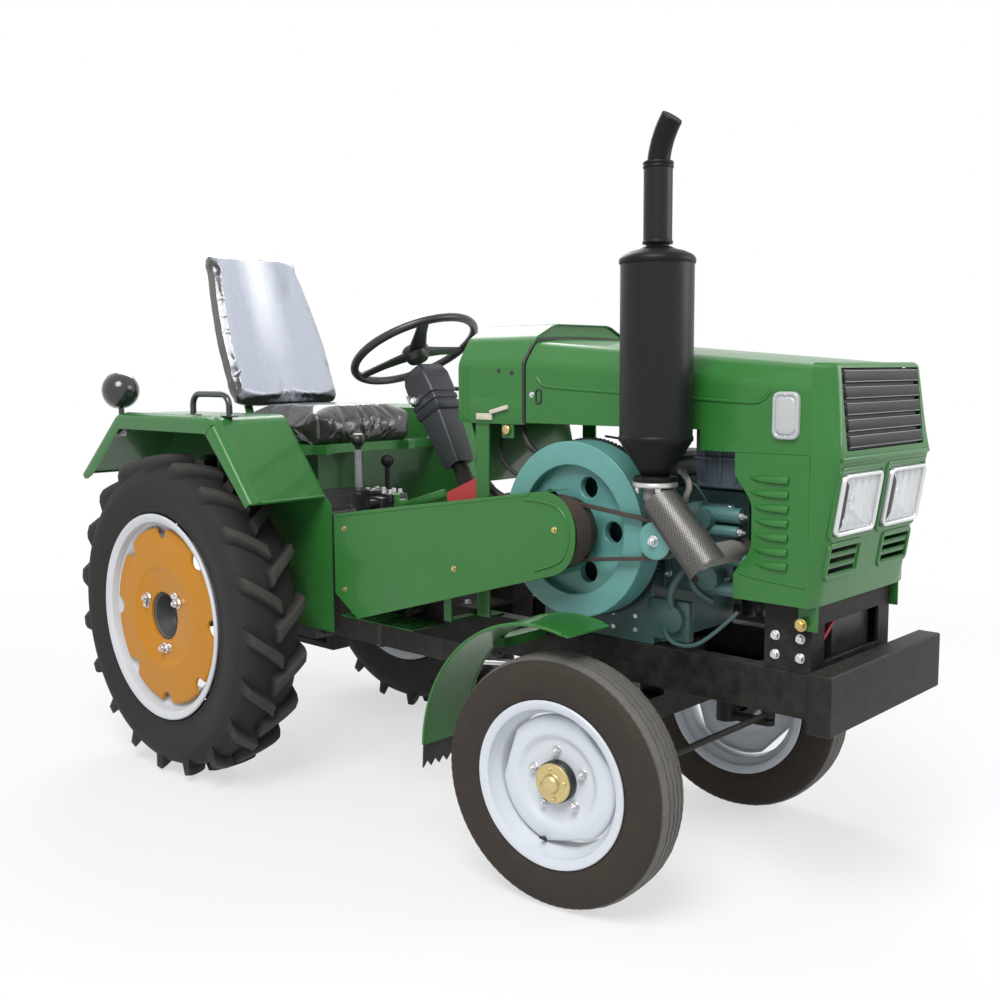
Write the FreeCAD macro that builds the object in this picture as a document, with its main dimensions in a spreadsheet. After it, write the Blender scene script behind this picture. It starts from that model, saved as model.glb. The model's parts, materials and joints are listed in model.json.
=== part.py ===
import FreeCAD, Part
import Sketcher
import math
import os
import re

# A small farm tractor with a belt drive, in millimetres. +X points forward, +Y to the tractor's left and
# +Z up. The origin is on the floor, under the middle of the whole machine. Every place along the tractor
# is worked out from the rear axle, and every place across it from the centre line.

doc = FreeCAD.newDocument("farm_tractor")
sheet = doc.addObject("Spreadsheet::Sheet", "dims")
sizes = []
pieces = []


def size(**rows):
    """Adds named sizes to the sheet, in millimetres or degrees."""
    for alias, value in rows.items():
        sizes.append(alias)
        row = len(sizes)
        sheet.set(f"A{row}", alias)
        sheet.set(f"B{row}", str(value))
        sheet.setAlias(f"B{row}", alias)
    sheet.recompute()


def sized(text):
    """The expression that a size in words stands for, with each named size read from the sheet."""
    def looked_up(word):
        return "dims." + word.group() if word.group() in sizes else word.group()
    return re.sub(r"\b[a-z]\w*", looked_up, str(text))


def number(text):
    """The present value of a size in words."""
    return float(sheet.evalExpression(sized(text)))


def bind(item, **values):
    """Binds the item's properties to sizes in words."""
    for name, text in values.items():
        item.setExpression(name, sized(text))
    return item


def place(item, x=0, y=0, z=0, turn=None, axis=(0, 0, 1)):
    """Puts the item at x, y, z, turned by an angle in words about an axis."""
    if turn is not None:
        item.Placement = FreeCAD.Placement(FreeCAD.Vector(), FreeCAD.Rotation(FreeCAD.Vector(*axis), 10))
        item.setExpression(".Placement.Rotation.Angle", sized(turn))
    for letter, text in zip("xyz", (x, y, z)):
        item.setExpression(".Placement.Base." + letter, sized(text))
    return item


def piece(label, item):
    """Keeps the item as a sub-part of the tractor, under its own name."""
    item.Label = label
    pieces.append(item)
    return item


# --- solids made of primitives ------------------------------------------------------------------------

def block(x, y, z):
    """A box between two values along each axis."""
    item = doc.addObject("Part::Box", "block")
    bind(item, Length=f"{x[1]} - ({x[0]})", Width=f"{y[1]} - ({y[0]})", Height=f"{z[1]} - ({z[0]})")
    return place(item, x[0], y[0], z[0])


def rod(axis, x, y, z, radius, length):
    """A round bar from a point, along +X, +Y or +Z."""
    item = doc.addObject("Part::Cylinder", "rod")
    bind(item, Radius=radius, Height=length)
    about, angle = {"X": ((0, 1, 0), 90), "Y": ((1, 0, 0), -90), "Z": ((0, 0, 1), 0)}[axis]
    item.Placement = FreeCAD.Placement(FreeCAD.Vector(), FreeCAD.Rotation(FreeCAD.Vector(*about), angle))
    return place(item, x, y, z)


def cone(x, y, z, low_radius, high_radius, length):
    """A cone frustum that stands on a point."""
    item = doc.addObject("Part::Cone", "cone")
    bind(item, Radius1=low_radius, Radius2=high_radius, Height=length)
    return place(item, x, y, z)


def ball(x, y, z, radius):
    """A ball about a point."""
    return place(bind(doc.addObject("Part::Sphere", "ball"), Radius=radius), x, y, z)


def strut(x, y, z, radius, length, turn, axis):
    """A round bar from a point, pointing up and then turned by an angle about an axis."""
    item = doc.addObject("Part::Cylinder", "strut")
    bind(item, Radius=radius, Height=length)
    return place(item, x, y, z, turn, axis)


def fuse(*items):
    """One solid of several."""
    item = doc.addObject("Part::MultiFuse", "fuse")
    item.Shapes = list(items)
    item.Refine = True
    return item


def cut(base, *tools):
    """The base with the tools taken out."""
    item = doc.addObject("Part::Cut", "cut")
    item.Base = base
    item.Tool = tools[0] if len(tools) == 1 else fuse(*tools)
    return item


def group(*items):
    """Several solids that don't touch, kept in one node."""
    item = doc.addObject("Part::Compound", "group")
    item.Links = list(items)
    return item


# --- solids made of sketches --------------------------------------------------------------------------

def new_body():
    return doc.addObject("PartDesign::Body", "body")


def draw_loop(sketch, corners):
    """Draws a closed outline. A corner is (across, up) or (across, up, radius of its rounding)."""
    count = len(corners)
    spots = [FreeCAD.Vector(number(c[0]), number(c[1]), 0) for c in corners]
    radii = [number(c[2]) if len(c) == 3 else 0 for c in corners]
    first_line = sketch.GeometryCount
    tangent_points = []
    for i in range(count):
        back = (spots[i - 1] - spots[i]).normalize()
        ahead = (spots[(i + 1) % count] - spots[i]).normalize()
        half = back.getAngle(ahead) / 2
        reach = radii[i] / math.tan(half) if radii[i] else 0
        tangent_points.append((spots[i] + back * reach, spots[i] + ahead * reach))
    for i in range(count):
        sketch.addGeometry(Part.LineSegment(tangent_points[i][1], tangent_points[(i + 1) % count][0]))
    for i in range(count):
        before, after = first_line + (i - 1) % count, first_line + i
        if not radii[i]:
            sketch.addConstraint(Sketcher.Constraint("Coincident", before, 2, after, 1))
            fix_point(sketch, after, 1, corners[i])
            continue
        corner = sketch.addGeometry(Part.Point(spots[i]), True)
        fix_point(sketch, corner, 1, corners[i])
        start, end = tangent_points[i]
        inward = ((start + end) / 2 - spots[i]).normalize()
        centre = spots[i] + inward * math.hypot(radii[i], start.distanceToPoint(spots[i]))
        leftward = (start - centre).cross(end - centre).z > 0
        first, last = (start, end) if leftward else (end, start)
        turn = [math.atan2(spot.y - centre.y, spot.x - centre.x) for spot in (first, last)]
        circle = Part.Circle(centre, FreeCAD.Vector(0, 0, 1), radii[i])
        arc = sketch.addGeometry(Part.ArcOfCircle(circle, turn[0], turn[1]))
        begin, stop = (1, 2) if leftward else (2, 1)
        sketch.addConstraint(Sketcher.Constraint("Tangent", before, 2, arc, begin))
        sketch.addConstraint(Sketcher.Constraint("Tangent", arc, stop, after, 1))
        sketch.addConstraint(Sketcher.Constraint("PointOnObject", corner, 1, before))
        sketch.addConstraint(Sketcher.Constraint("PointOnObject", corner, 1, after))
        held = sketch.addConstraint(Sketcher.Constraint("Radius", arc, radii[i]))
        sketch.setExpression(f"Constraints[{held}]", sized(corners[i][2]))


def fix_point(sketch, geometry, end, spot):
    for kind, text in zip(("DistanceX", "DistanceY"), spot):
        held = sketch.addConstraint(Sketcher.Constraint(kind, geometry, end, number(text)))
        sketch.setExpression(f"Constraints[{held}]", sized(text))


def draw_circle(sketch, across, up, radius):
    centre = FreeCAD.Vector(number(across), number(up), 0)
    circle = sketch.addGeometry(Part.Circle(centre, FreeCAD.Vector(0, 0, 1), number(radius)))
    fix_point(sketch, circle, 3, (across, up))
    held = sketch.addConstraint(Sketcher.Constraint("Radius", circle, number(radius)))
    sketch.setExpression(f"Constraints[{held}]", sized(radius))


def sketch_at(body, plane, at, loops):
    """A sketch in one of the body's planes, moved along that plane's axis. A loop is a list of corners or
    a circle (across, up, radius)."""
    sketch = body.newObject("Sketcher::SketchObject", "sketch")
    support = [f for f in body.Origin.OriginFeatures if f.Role == plane + "_Plane"][0]
    sketch.AttachmentSupport = [(support, "")]
    sketch.MapMode = "FlatFace"
    sign = "-1 *" if plane == "XZ" else "1 *"
    sketch.setExpression(".AttachmentOffset.Base.z", sized(f"{sign} ({at})"))
    for loop in loops:
        if isinstance(loop, tuple):
            draw_circle(sketch, *loop)
        else:
            draw_loop(sketch, loop)
    return sketch


def pad(body, plane, low, high, *loops):
    """Adds an outline's solid between two values along the plane's axis."""
    sketch = sketch_at(body, plane, high if plane == "XZ" else low, loops)
    feature = body.newObject("PartDesign::Pad", "pad")
    feature.Profile = sketch
    bind(feature, Length=f"{high} - ({low})")
    return body


def pocket(body, plane, low, high, *loops):
    """Takes an outline's solid out, between two values along the plane's axis."""
    doc.recompute()
    before = body.Shape.Volume
    sketch = sketch_at(body, plane, low if plane == "XZ" else high, loops)
    feature = body.newObject("PartDesign::Pocket", "pocket")
    feature.Profile = sketch
    bind(feature, Length=f"{high} - ({low})")
    doc.recompute()
    if body.Shape.Volume > before - 1:
        raise RuntimeError(f"a pocket in {body.Label} takes nothing away")
    return body


def turned(body, plane, *loops):
    """Adds a turned solid: outlines of (radius, along) about the plane's upright axis."""
    sketch = sketch_at(body, plane, 0, loops)
    feature = body.newObject("PartDesign::Revolution", "turned")
    feature.Profile = sketch
    feature.ReferenceAxis = (sketch, ["V_Axis"])
    feature.Angle = 360
    return body


SIDES = (("right", "-1", 180), ("left", "1", 0))


def outward(sign, low, high):
    """Two values across the tractor, given outwards, as (low, high) on the side of that sign."""
    return (f"-1 * ({high})", f"-1 * ({low})") if sign == "-1" else (low, high)


def repeats(alias):
    return range(int(number(alias)))


# --- driving sizes ------------------------------------------------------------------------------------

size(wheelbase=1530, bumper_ahead=642,
     front_track=884, rear_track=1044, front_tyre_radius=314, rear_tyre_radius=525,
     front_tyre_width=132, rear_tyre_width=232,
     steer_at_rest=7, scrub=112, fly_radius=225, bonnet_half=245,
     link_pivot_behind=60, link_length=640, link_eye_radius=28,
     rail_top=620, rail_depth=105, rail_outer=203, rail_inner=155, rail_web=6,
     turning_gap=0.05, side_gap=5, lap=2, past=10)

# A lap is how far one solid runs into the next that it is made one with, and past is how far a cut runs
# beyond what it cuts.
rear_axle = "((link_pivot_behind + link_length + link_eye_radius - wheelbase - bumper_ahead) / 2)"
front_axle = f"({rear_axle} + wheelbase)"
kingpin_across = "(front_track / 2 - scrub)"
rail_bottom = "(rail_top - rail_depth)"


def ahead(distance):
    """A place along the tractor, as a distance in front of the rear axle."""
    return f"({rear_axle} + ({distance}))"


# --- frame: two channel rails, cross members and the saddle over the front axle -----------------------

size(rail_start=560, rail_end_ahead=584, flange=7, cross_wide=60, cross_deep=50, saddle_half=40,
     beam_top=445, beam_deep=65, beam_wide=70, saddle_across=48,
     cross_gear=870, cross_engine_rear=1310, cross_engine_front=1850)
rail_front = f"({front_axle} + rail_end_ahead)"


def rail(sign):
    """A channel that is open towards the middle of the tractor."""
    run = (ahead("rail_start"), rail_front)
    body = block(run, outward(sign, "rail_inner", "rail_outer"), (rail_bottom, "rail_top"))
    trough = block(run, outward(sign, "rail_inner", "rail_outer - rail_web"),
                   (f"{rail_bottom} + flange", "rail_top - flange"))
    return cut(body, trough)


def cross_member(at):
    return block((f"{at} - cross_wide / 2", f"{at} + cross_wide / 2"),
                 ("rail_web - rail_outer", "rail_outer - rail_web"),
                 (f"{rail_bottom} + flange", f"{rail_bottom} + flange + cross_deep"))


saddle = block((f"{front_axle} - saddle_half", f"{front_axle} + saddle_half"),
               ("-saddle_across", "saddle_across"), ("beam_top", f"{rail_bottom} + flange + cross_deep"))
piece("frame", fuse(rail("-1"), rail("1"), cross_member(ahead("cross_gear")),
                    cross_member(ahead("cross_engine_rear")),
                    cross_member(ahead("cross_engine_front")), cross_member(front_axle), saddle,
                    cross_member(f"{rail_front} - cross_wide / 2")))

# --- front bumper: a heavy bar across the ends of the rails -------------------------------------------

size(bumper_deep=58, bumper_half=290, bumper_low=513, bumper_high=650)
bumper_face = f"({front_axle} + bumper_ahead)"
piece("front_bumper", block((f"{bumper_face} - bumper_deep", bumper_face), ("-bumper_half", "bumper_half"),
                            ("bumper_low", "bumper_high")))

# --- front support: an upside-down U of plate that carries the radiator and the bonnet's hinge --------

size(support_rear=425, support_front=546, support_half=198, support_high=776, support_plate=8,
     window_half=138, window_high=730, window_low=640, hinge_ahead=530, hinge_up=738, hinge_pin=9,
     hinge_ear=6)
support_back = f"({front_axle} + support_rear)"
support_face = f"({front_axle} + support_front)"
hinge_at = f"({front_axle} + hinge_ahead)"
support = new_body()
pad(support, "XY", "rail_top", "support_high",
    [(support_back, "-support_half"), (support_face, "-support_half"),
     (support_face, "support_half"), (support_back, "support_half")])
pocket(support, "XY", "rail_top", "support_high - support_plate",
       [(support_back, "-support_half + support_plate"), (f"{support_face} - support_plate",
        "-support_half + support_plate"), (f"{support_face} - support_plate", "support_half - support_plate"),
        (support_back, "support_half - support_plate")])
pocket(support, "YZ", f"{support_face} - 2 * support_plate", support_face,
       [("-window_half", "window_low"), ("window_half", "window_low"), ("window_half", "window_high"),
        ("-window_half", "window_high")])
pins = fuse(rod("Y", hinge_at, "-support_half - side_gap - 2 * hinge_ear", "hinge_up", "hinge_pin",
                "side_gap + 2 * hinge_ear"),
            rod("Y", hinge_at, "support_half", "hinge_up", "hinge_pin", "side_gap + 2 * hinge_ear"))
piece("front_support", fuse(support, pins))

# --- front axle: a straight beam with an upright eye for a kingpin at each end ------------------------

size(kingpin=16, eye_outer=34, eye_low=345, eye_high=480)
beam = block((f"{front_axle} - beam_wide / 2", f"{front_axle} + beam_wide / 2"),
             (f"-{kingpin_across}", kingpin_across), ("beam_top - beam_deep", "beam_top"))
eyes = [rod("Z", front_axle, f"{sign} * {kingpin_across}", "eye_low", "eye_outer", "eye_high - eye_low")
        for _, sign, _ in SIDES]
bores = [rod("Z", front_axle, f"{sign} * {kingpin_across}", "eye_low", "kingpin + turning_gap",
             "eye_high - eye_low") for _, sign, _ in SIDES]
piece("front_axle", cut(fuse(beam, *eyes), *bores))

# --- knuckles: kingpin, stub axle and steering arms, drawn about the kingpin at floor level -----------

size(knuckle_low=284, knuckle_block=30, thrust_gap=0.5, arm_low=485, arm_thick=16, arm_wide=38,
     stub_radius=20, stub_past_wheel=40, tie_arm=130, tie_arm_low=290, drag_arm=200, ball_pin=9, pin_up=42)
for name, sign, _ in SIDES:
    stub_start = "0" if sign == "1" else "-(scrub + stub_past_wheel)"
    parts = [rod("Z", 0, 0, "knuckle_low", "knuckle_block", "eye_low - thrust_gap - knuckle_low"),
             rod("Z", 0, 0, "knuckle_low", "kingpin", "arm_low - knuckle_low"),
             rod("Z", 0, 0, "arm_low", "knuckle_block", "arm_thick"),
             rod("Y", 0, stub_start, "front_tyre_radius", "stub_radius", "scrub + stub_past_wheel"),
             block(("0", "tie_arm"), ("-arm_wide / 2", "arm_wide / 2"),
                   ("tie_arm_low", "tie_arm_low + arm_thick")),
             rod("Z", "tie_arm", 0, "tie_arm_low", "arm_wide / 2", "arm_thick"),
             rod("Z", "tie_arm", 0, "tie_arm_low", "ball_pin", "pin_up")]
    if name == "left":
        parts += [block(("-arm_wide / 2", "arm_wide / 2"), ("-drag_arm", "0"),
                        ("arm_low", "arm_low + arm_thick")),
                  rod("Z", 0, "-drag_arm", "arm_low", "arm_wide / 2", "arm_thick"),
                  rod("Z", 0, "-drag_arm", "arm_low + arm_thick - pin_up", "ball_pin", "pin_up")]
    piece(f"{name}_knuckle",
          place(fuse(*parts), front_axle, f"{sign} * {kingpin_across}", 0, "steer_at_rest"))

# --- steering linkage: tie rod, drag link and pitman arm make two parallelograms ----------------------

size(rod_radius=9, rod_eye=20, rod_eye_thick=20, tie_rod_up=322, drag_link_up=470, gear_ahead=975,
     gear_half=45, gear_low=545, gear_high=700, pitman_shaft=16, shaft_into=60)


def ball_rod(length):
    """A bar along +X between two eyes, drawn about the first one."""
    bar = rod("X", 0, 0, 0, "rod_radius", length)
    ends = [rod("Z", at, 0, "-rod_eye_thick / 2", "rod_eye", "rod_eye_thick") for at in ("0", length)]
    holes = [rod("Z", at, 0, "-rod_eye_thick / 2", "ball_pin + turning_gap", "rod_eye_thick")
             for at in ("0", length)]
    return cut(fuse(bar, *ends), *holes)


piece("tie_rod", place(ball_rod(f"2 * {kingpin_across}"), f"{front_axle} + tie_arm * cos(steer_at_rest)",
                       f"-{kingpin_across} + tie_arm * sin(steer_at_rest)", "tie_rod_up", "90"))
drag_run = "(wheelbase - gear_ahead)"
piece("drag_link", place(ball_rod(f"sqrt({drag_run} ^ 2 + {kingpin_across} ^ 2)"),
                         f"{ahead('gear_ahead')} + drag_arm * sin(steer_at_rest)",
                         "-drag_arm * cos(steer_at_rest)", "drag_link_up",
                         f"atan({kingpin_across} / {drag_run})"))
pitman = fuse(block(("-arm_wide / 2", "arm_wide / 2"), ("-drag_arm", "0"),
                    ("arm_low", "arm_low + arm_thick")),
              rod("Z", 0, 0, "arm_low", "knuckle_block", "arm_thick"),
              rod("Z", 0, 0, "arm_low", "pitman_shaft", "gear_low + shaft_into - arm_low"),
              rod("Z", 0, "-drag_arm", "arm_low", "arm_wide / 2", "arm_thick"),
              rod("Z", 0, "-drag_arm", "arm_low + arm_thick - pin_up", "ball_pin", "pin_up"))
piece("pitman_arm", place(pitman, ahead("gear_ahead"), 0, 0, "steer_at_rest"))

# --- steering gear, column and wheel ------------------------------------------------------------------

size(column_tilt=29, column_radius=26, wheel_hub_up=1366, wheel_rim=216, wheel_grip=13, wheel_dish=12,
     hub_radius=32, hub_deep=40, column_shaft=11, shroud_wide=84, shroud_deep=96, shroud_from=30,
     shroud_long=350, gear_foot=8, spokes=3, spoke_thick=8)
# The column's line starts in the gear, half way up it.
column_foot_up = "((gear_low + gear_high) / 2)"
column_long = f"((wheel_hub_up - {column_foot_up}) / cos(column_tilt))"


def on_column(item, along="0"):
    """Puts an item, drawn upright about the column's line, at a distance up that line."""
    return place(item, f"{ahead('gear_ahead')} - ({along}) * sin(column_tilt)", 0,
                 f"{column_foot_up} + ({along}) * cos(column_tilt)", "-1 * column_tilt", (0, 1, 0))


def upright_rod(radius, length):
    return bind(doc.addObject("Part::Cylinder", "upright"), Radius=radius, Height=length)


gear_run = (ahead("gear_ahead - gear_half"), ahead("gear_ahead + gear_half"))
gear_case = block(gear_run, ("-gear_half", "gear_half"), ("gear_low", "gear_high"))
gear_feet = block(gear_run, ("-rail_outer", "rail_outer"), ("rail_top", "rail_top + gear_foot"))
tube = on_column(upright_rod("column_radius", f"{column_long} - hub_deep"))
column_bore = on_column(upright_rod("column_shaft + turning_gap", "shaft_into"),
                        f"{column_long} - hub_deep - shaft_into")
gear_bore = rod("Z", ahead("gear_ahead"), 0, "gear_low", "pitman_shaft + turning_gap", "shaft_into")
shroud = doc.addObject("Part::Box", "shroud")
bind(shroud, Length="shroud_deep", Width="shroud_wide", Height="shroud_long")
shroud_mid = f"({column_long} - hub_deep - shroud_from - shroud_long)"
place(shroud, f"{ahead('gear_ahead')} - {shroud_mid} * sin(column_tilt) - shroud_deep / 2 * cos(column_tilt)",
      "-shroud_wide / 2",
      f"{column_foot_up} + {shroud_mid} * cos(column_tilt) - shroud_deep / 2 * sin(column_tilt)",
      "-1 * column_tilt", (0, 1, 0))
piece("steering_column", cut(fuse(gear_case, gear_feet, tube, shroud), column_bore, gear_bore))

ring = bind(doc.addObject("Part::Torus", "ring"), Radius1="wheel_rim - wheel_grip", Radius2="wheel_grip")
place(ring, 0, 0, "wheel_dish")
bars = []
for i in repeats("spokes"):
    # A spoke lies level, turned about the hub, and the first one points to the left.
    bar = rod("X", 0, 0, "wheel_dish", "spoke_thick", "wheel_rim - wheel_grip")
    angle = 90 + i * 360 / number("spokes")
    bar.Placement.Rotation = FreeCAD.Rotation(FreeCAD.Vector(0, 0, 1), angle) * bar.Placement.Rotation
    bars.append(bar)
hub = rod("Z", 0, 0, "thrust_gap - hub_deep", "hub_radius", "hub_deep + wheel_dish")
shaft = rod("Z", 0, 0, "thrust_gap - hub_deep - shaft_into + side_gap", "column_shaft", "shaft_into")
piece("steering_wheel", on_column(fuse(ring, hub, shaft, *bars), column_long))

# --- front wheels: a dished disc in a well rim on a hub, and a ribbed tyre, drawn about the wheel's middle 

size(front_flange=207, front_bead=189, front_well=166, front_rim_half=62, front_plate=5, front_hub=46,
     front_hub_in=52, front_disc_out=14, front_disc_hub=96, front_cap=30, front_cap_out=62, tyre_wall=12,
     tyre_gap=0.3, flange_reach=28, front_shoulder=34, front_crown=14, hub_wall=8, cap_from=20,
     seat_share=0.68, well_share=0.5, slope_share=0.6)


def both_sides(outer, inner):
    """A closed outline from its outer and inner corners on the +Y side, mirrored to the other side."""
    def mirrored(corners):
        return [(r, f"-1 * ({y})") for r, y in corners]
    return mirrored(outer) + outer[::-1] + inner + mirrored(inner)[::-1]


def rim_outline(flange, bead, well, half, plate):
    """The section of a drop-centre rim, all of one plate thickness."""
    seat_end, well_end = f"{half} * seat_share", f"{half} * well_share"
    outer = [(flange, half), (flange, f"{half} - {plate}"), (f"{bead} + {plate} / 2", f"{half} - {plate}"),
             (f"{bead} + {plate} / 2", seat_end), (f"{well} + {plate} / 2", well_end)]
    inner = [(f"{bead} - {plate} / 2", half),
             (f"{bead} - {plate} / 2", f"{seat_end} + slope_share * {plate}"),
             (f"{well} - {plate} / 2", f"{well_end} + slope_share * {plate}")]
    return both_sides(outer, inner)


def tyre_outline(radius, half, bead, rim_half, plate, shoulder, crown_half):
    """The section of a tyre: beads inside the rim's flanges, bulged walls and a flat crown."""
    seat = f"{bead} + {plate} / 2 + tyre_gap"
    inside = f"{rim_half} - {plate} - tyre_gap"
    middle = f"({radius} + {bead}) / 2"
    outer = [(seat, inside), (f"{seat} + flange_reach", inside), (middle, half),
             (f"{radius} - {shoulder}", half), (radius, crown_half)]
    inner = [(seat, f"{inside} - tyre_wall"), (middle, f"{half} - tyre_wall"),
             (f"{radius} - {shoulder} - tyre_wall", f"{half} - tyre_wall"),
             (f"{radius} - tyre_wall", f"{crown_half} - tyre_wall")]
    return both_sides(outer, inner)


def steered(item, sign, half_turn):
    """Puts a front wheel's part, drawn about its middle with its outer face at +Y, on its stub axle."""
    return place(item, f"{front_axle} - {sign} * scrub * sin(steer_at_rest)",
                 f"{sign} * ({kingpin_across} + scrub * cos(steer_at_rest))", "front_tyre_radius",
                 f"steer_at_rest + {half_turn}")


for name, sign, half_turn in SIDES:
    wheel = new_body()
    turned(wheel, "XY", rim_outline("front_flange", "front_bead", "front_well", "front_rim_half",
                                    "front_plate"))
    turned(wheel, "XY", [("front_well", "-1 * front_plate"), ("front_well", "front_plate"),
                         ("front_disc_hub", "front_disc_out + front_plate"),
                         ("front_hub - lap", "front_disc_out + front_plate"),
                         ("front_hub - lap", "front_disc_out - front_plate"),
                         ("front_disc_hub", "front_disc_out - front_plate")])
    turned(wheel, "XY", [("stub_radius + turning_gap", "-1 * front_hub_in"),
                         ("front_hub", "-1 * front_hub_in"), ("front_hub", "front_disc_out + cap_from"),
                         ("front_cap", "front_disc_out + cap_from"), ("front_cap", "front_cap_out"),
                         ("0", "front_cap_out"), ("0", "front_cap_out - hub_wall"),
                         ("stub_radius + turning_gap", "front_cap_out - hub_wall")])
    piece(f"front_{name}_wheel", steered(wheel, sign, half_turn))
    tyre = new_body()
    turned(tyre, "XY", tyre_outline("front_tyre_radius", "front_tyre_width / 2", "front_bead",
                                    "front_rim_half", "front_plate", "front_shoulder",
                                    "(front_tyre_width / 2 - front_crown)"))
    piece(f"front_{name}_tyre", steered(tyre, sign, half_turn))

# --- rear wheels: a wide rim with a dished disc, its hub on a stub of axle shaft, and a lugged tyre ---

size(rear_flange=332, rear_bead=304, rear_well=270, rear_rim_half=108, rear_plate=7, rear_disc_out=22,
     rear_disc_dish=30, rear_disc_hub=120, rear_disc_bore=48, rear_disc_thick=10, rear_hub=62, axle_shaft=30,
     trumpet_end=445, shaft_in=60, rear_shoulder=44, rear_crown=34, axle_nose=34)


def rolling(item, sign, half_turn):
    """Puts a rear wheel's part, drawn about the wheel's middle with its outer face at +Y, on its axle."""
    return place(item, rear_axle, f"{sign} * rear_track / 2", "rear_tyre_radius", half_turn)


hub_back = "(trumpet_end + side_gap - rear_track / 2)"
for name, sign, half_turn in SIDES:
    wheel = new_body()
    turned(wheel, "XY", rim_outline("rear_flange", "rear_bead", "rear_well", "rear_rim_half", "rear_plate"))
    turned(wheel, "XY", [("rear_well", "rear_disc_out - rear_disc_dish"),
                         ("rear_disc_hub", "rear_disc_out - rear_disc_thick"),
                         ("rear_disc_bore", "rear_disc_out - rear_disc_thick"),
                         ("rear_disc_bore", "rear_disc_out"), ("rear_disc_hub", "rear_disc_out"),
                         ("rear_well", "rear_disc_out - rear_disc_dish + rear_disc_thick")])
    turned(wheel, "XY", [("0", f"{hub_back} - shaft_in"), ("axle_shaft", f"{hub_back} - shaft_in"),
                         ("axle_shaft", hub_back), ("rear_hub", hub_back),
                         ("rear_hub", "rear_disc_out - rear_disc_thick"),
                         ("axle_nose", "rear_disc_out - rear_disc_thick"),
                         ("axle_nose", "rear_disc_out + cap_from"), ("0", "rear_disc_out + cap_from")])
    piece(f"rear_{name}_wheel", rolling(wheel, sign, half_turn))
    tyre = new_body()
    turned(tyre, "XY", tyre_outline("rear_tyre_radius", "rear_tyre_width / 2", "rear_bead", "rear_rim_half",
                                    "rear_plate", "rear_shoulder", "(rear_tyre_width / 2 - rear_crown)"))
    piece(f"rear_{name}_tyre", rolling(tyre, sign, half_turn))

# --- transaxle: gearbox, axle trumpets, lift housing on top and the clutch shaft's carrier ------------

size(gearbox_rear=140, gearbox_mid=200, gearbox_front=790, gearbox_half=150, gearbox_slim=118,
     gearbox_low=400, gearbox_high=700, gearbox_slim_low=420, gearbox_slim_high=830, lift_front=180,
     lift_half=110, lift_high=905, trumpet=62, clutch_ahead=775, clutch_up=757, clutch_carrier=44,
     clutch_shaft=20, clutch_shaft_in=90, shaft_room=10, carrier_end=296, ear_rear=600, ear_front=680,
     rockshaft=22, rockshaft_up=835, rockshaft_boss=40, boss_out=172, link_up=400, link_boss=28, link_low=182,
     link_thick=16, link_pin=11, pin_past=5, top_link_up=650, top_link_behind=172, top_link_ear=12,
     top_link_gap=28, top_link_pin=9.7, top_link_eye=24, shaft_up=560, output_shaft=17.4, output_depth=60,
     output_out=95, output_journal=22, collar_out=10, fender_pad=50, fender_pad_thick=40,
     fender_inner=330, pad_high=690)
link_at = f"({rear_axle} - link_pivot_behind)"
gearbox = block((ahead("-1 * gearbox_rear"), ahead("gearbox_mid")), ("-gearbox_half", "gearbox_half"),
                ("gearbox_low", "gearbox_high"))
slim = block((ahead("gearbox_mid"), ahead("gearbox_front")), ("-gearbox_slim", "gearbox_slim"),
             ("gearbox_slim_low", "gearbox_slim_high"))
lift = block((ahead("-1 * gearbox_rear"), ahead("lift_front")), ("-lift_half", "lift_half"),
             ("gearbox_high", "lift_high"))
ears = [block((ahead("ear_rear"), ahead("ear_front")), span, (f"{rail_bottom} + flange", "rail_top - flange"))
        for span in (("-rail_outer + rail_web", "-gearbox_slim"), ("gearbox_slim", "rail_outer - rail_web"))]
trumpets = rod("Y", rear_axle, "-trumpet_end", "rear_tyre_radius", "trumpet", "2 * trumpet_end")
pads = [block((ahead("-fender_pad"), ahead("fender_pad")), span, ("rear_tyre_radius", "pad_high"))
        for span in (("-fender_inner", "fender_pad_thick - fender_inner"),
                     ("fender_inner - fender_pad_thick", "fender_inner"))]
carrier = rod("Y", ahead("clutch_ahead"), "-carrier_end", "clutch_up", "clutch_carrier",
              "carrier_end - gearbox_slim")
bosses = rod("Y", link_at, "-boss_out", "rockshaft_up", "rockshaft_boss", "2 * boss_out")
link_bosses = rod("Y", link_at, "side_gap - link_low", "link_up", "link_boss", "2 * (link_low - side_gap)")
link_pins = rod("Y", link_at, "-link_low - link_thick - pin_past", "link_up", "link_pin",
                "2 * (link_low + link_thick + pin_past)")
top_ears = [block((f"{rear_axle} - top_link_behind - top_link_eye", ahead("-1 * gearbox_rear")), span,
                  ("top_link_up - top_link_eye", "top_link_up + top_link_eye"))
            for span in (("-top_link_gap / 2 - top_link_ear", "-top_link_gap / 2"),
                         ("top_link_gap / 2", "top_link_gap / 2 + top_link_ear"))]
holes = [rod("Y", rear_axle, "-trumpet_end", "rear_tyre_radius", "axle_shaft + turning_gap",
             "shaft_in + shaft_room"),
         rod("Y", rear_axle, "trumpet_end - shaft_in - shaft_room", "rear_tyre_radius",
             "axle_shaft + turning_gap", "shaft_in + shaft_room"),
         rod("Y", ahead("clutch_ahead"), "-carrier_end", "clutch_up", "clutch_shaft + turning_gap",
             "clutch_shaft_in + shaft_room"),
         rod("Y", link_at, "-boss_out", "rockshaft_up", "rockshaft + turning_gap", "2 * boss_out"),
         rod("Y", f"{rear_axle} - top_link_behind", "-top_link_gap / 2 - top_link_ear", "top_link_up",
             "top_link_pin", "top_link_gap + 2 * top_link_ear"),
         rod("X", ahead("-1 * gearbox_rear"), 0, "shaft_up", "output_journal + turning_gap",
             "output_depth + side_gap")]
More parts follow.
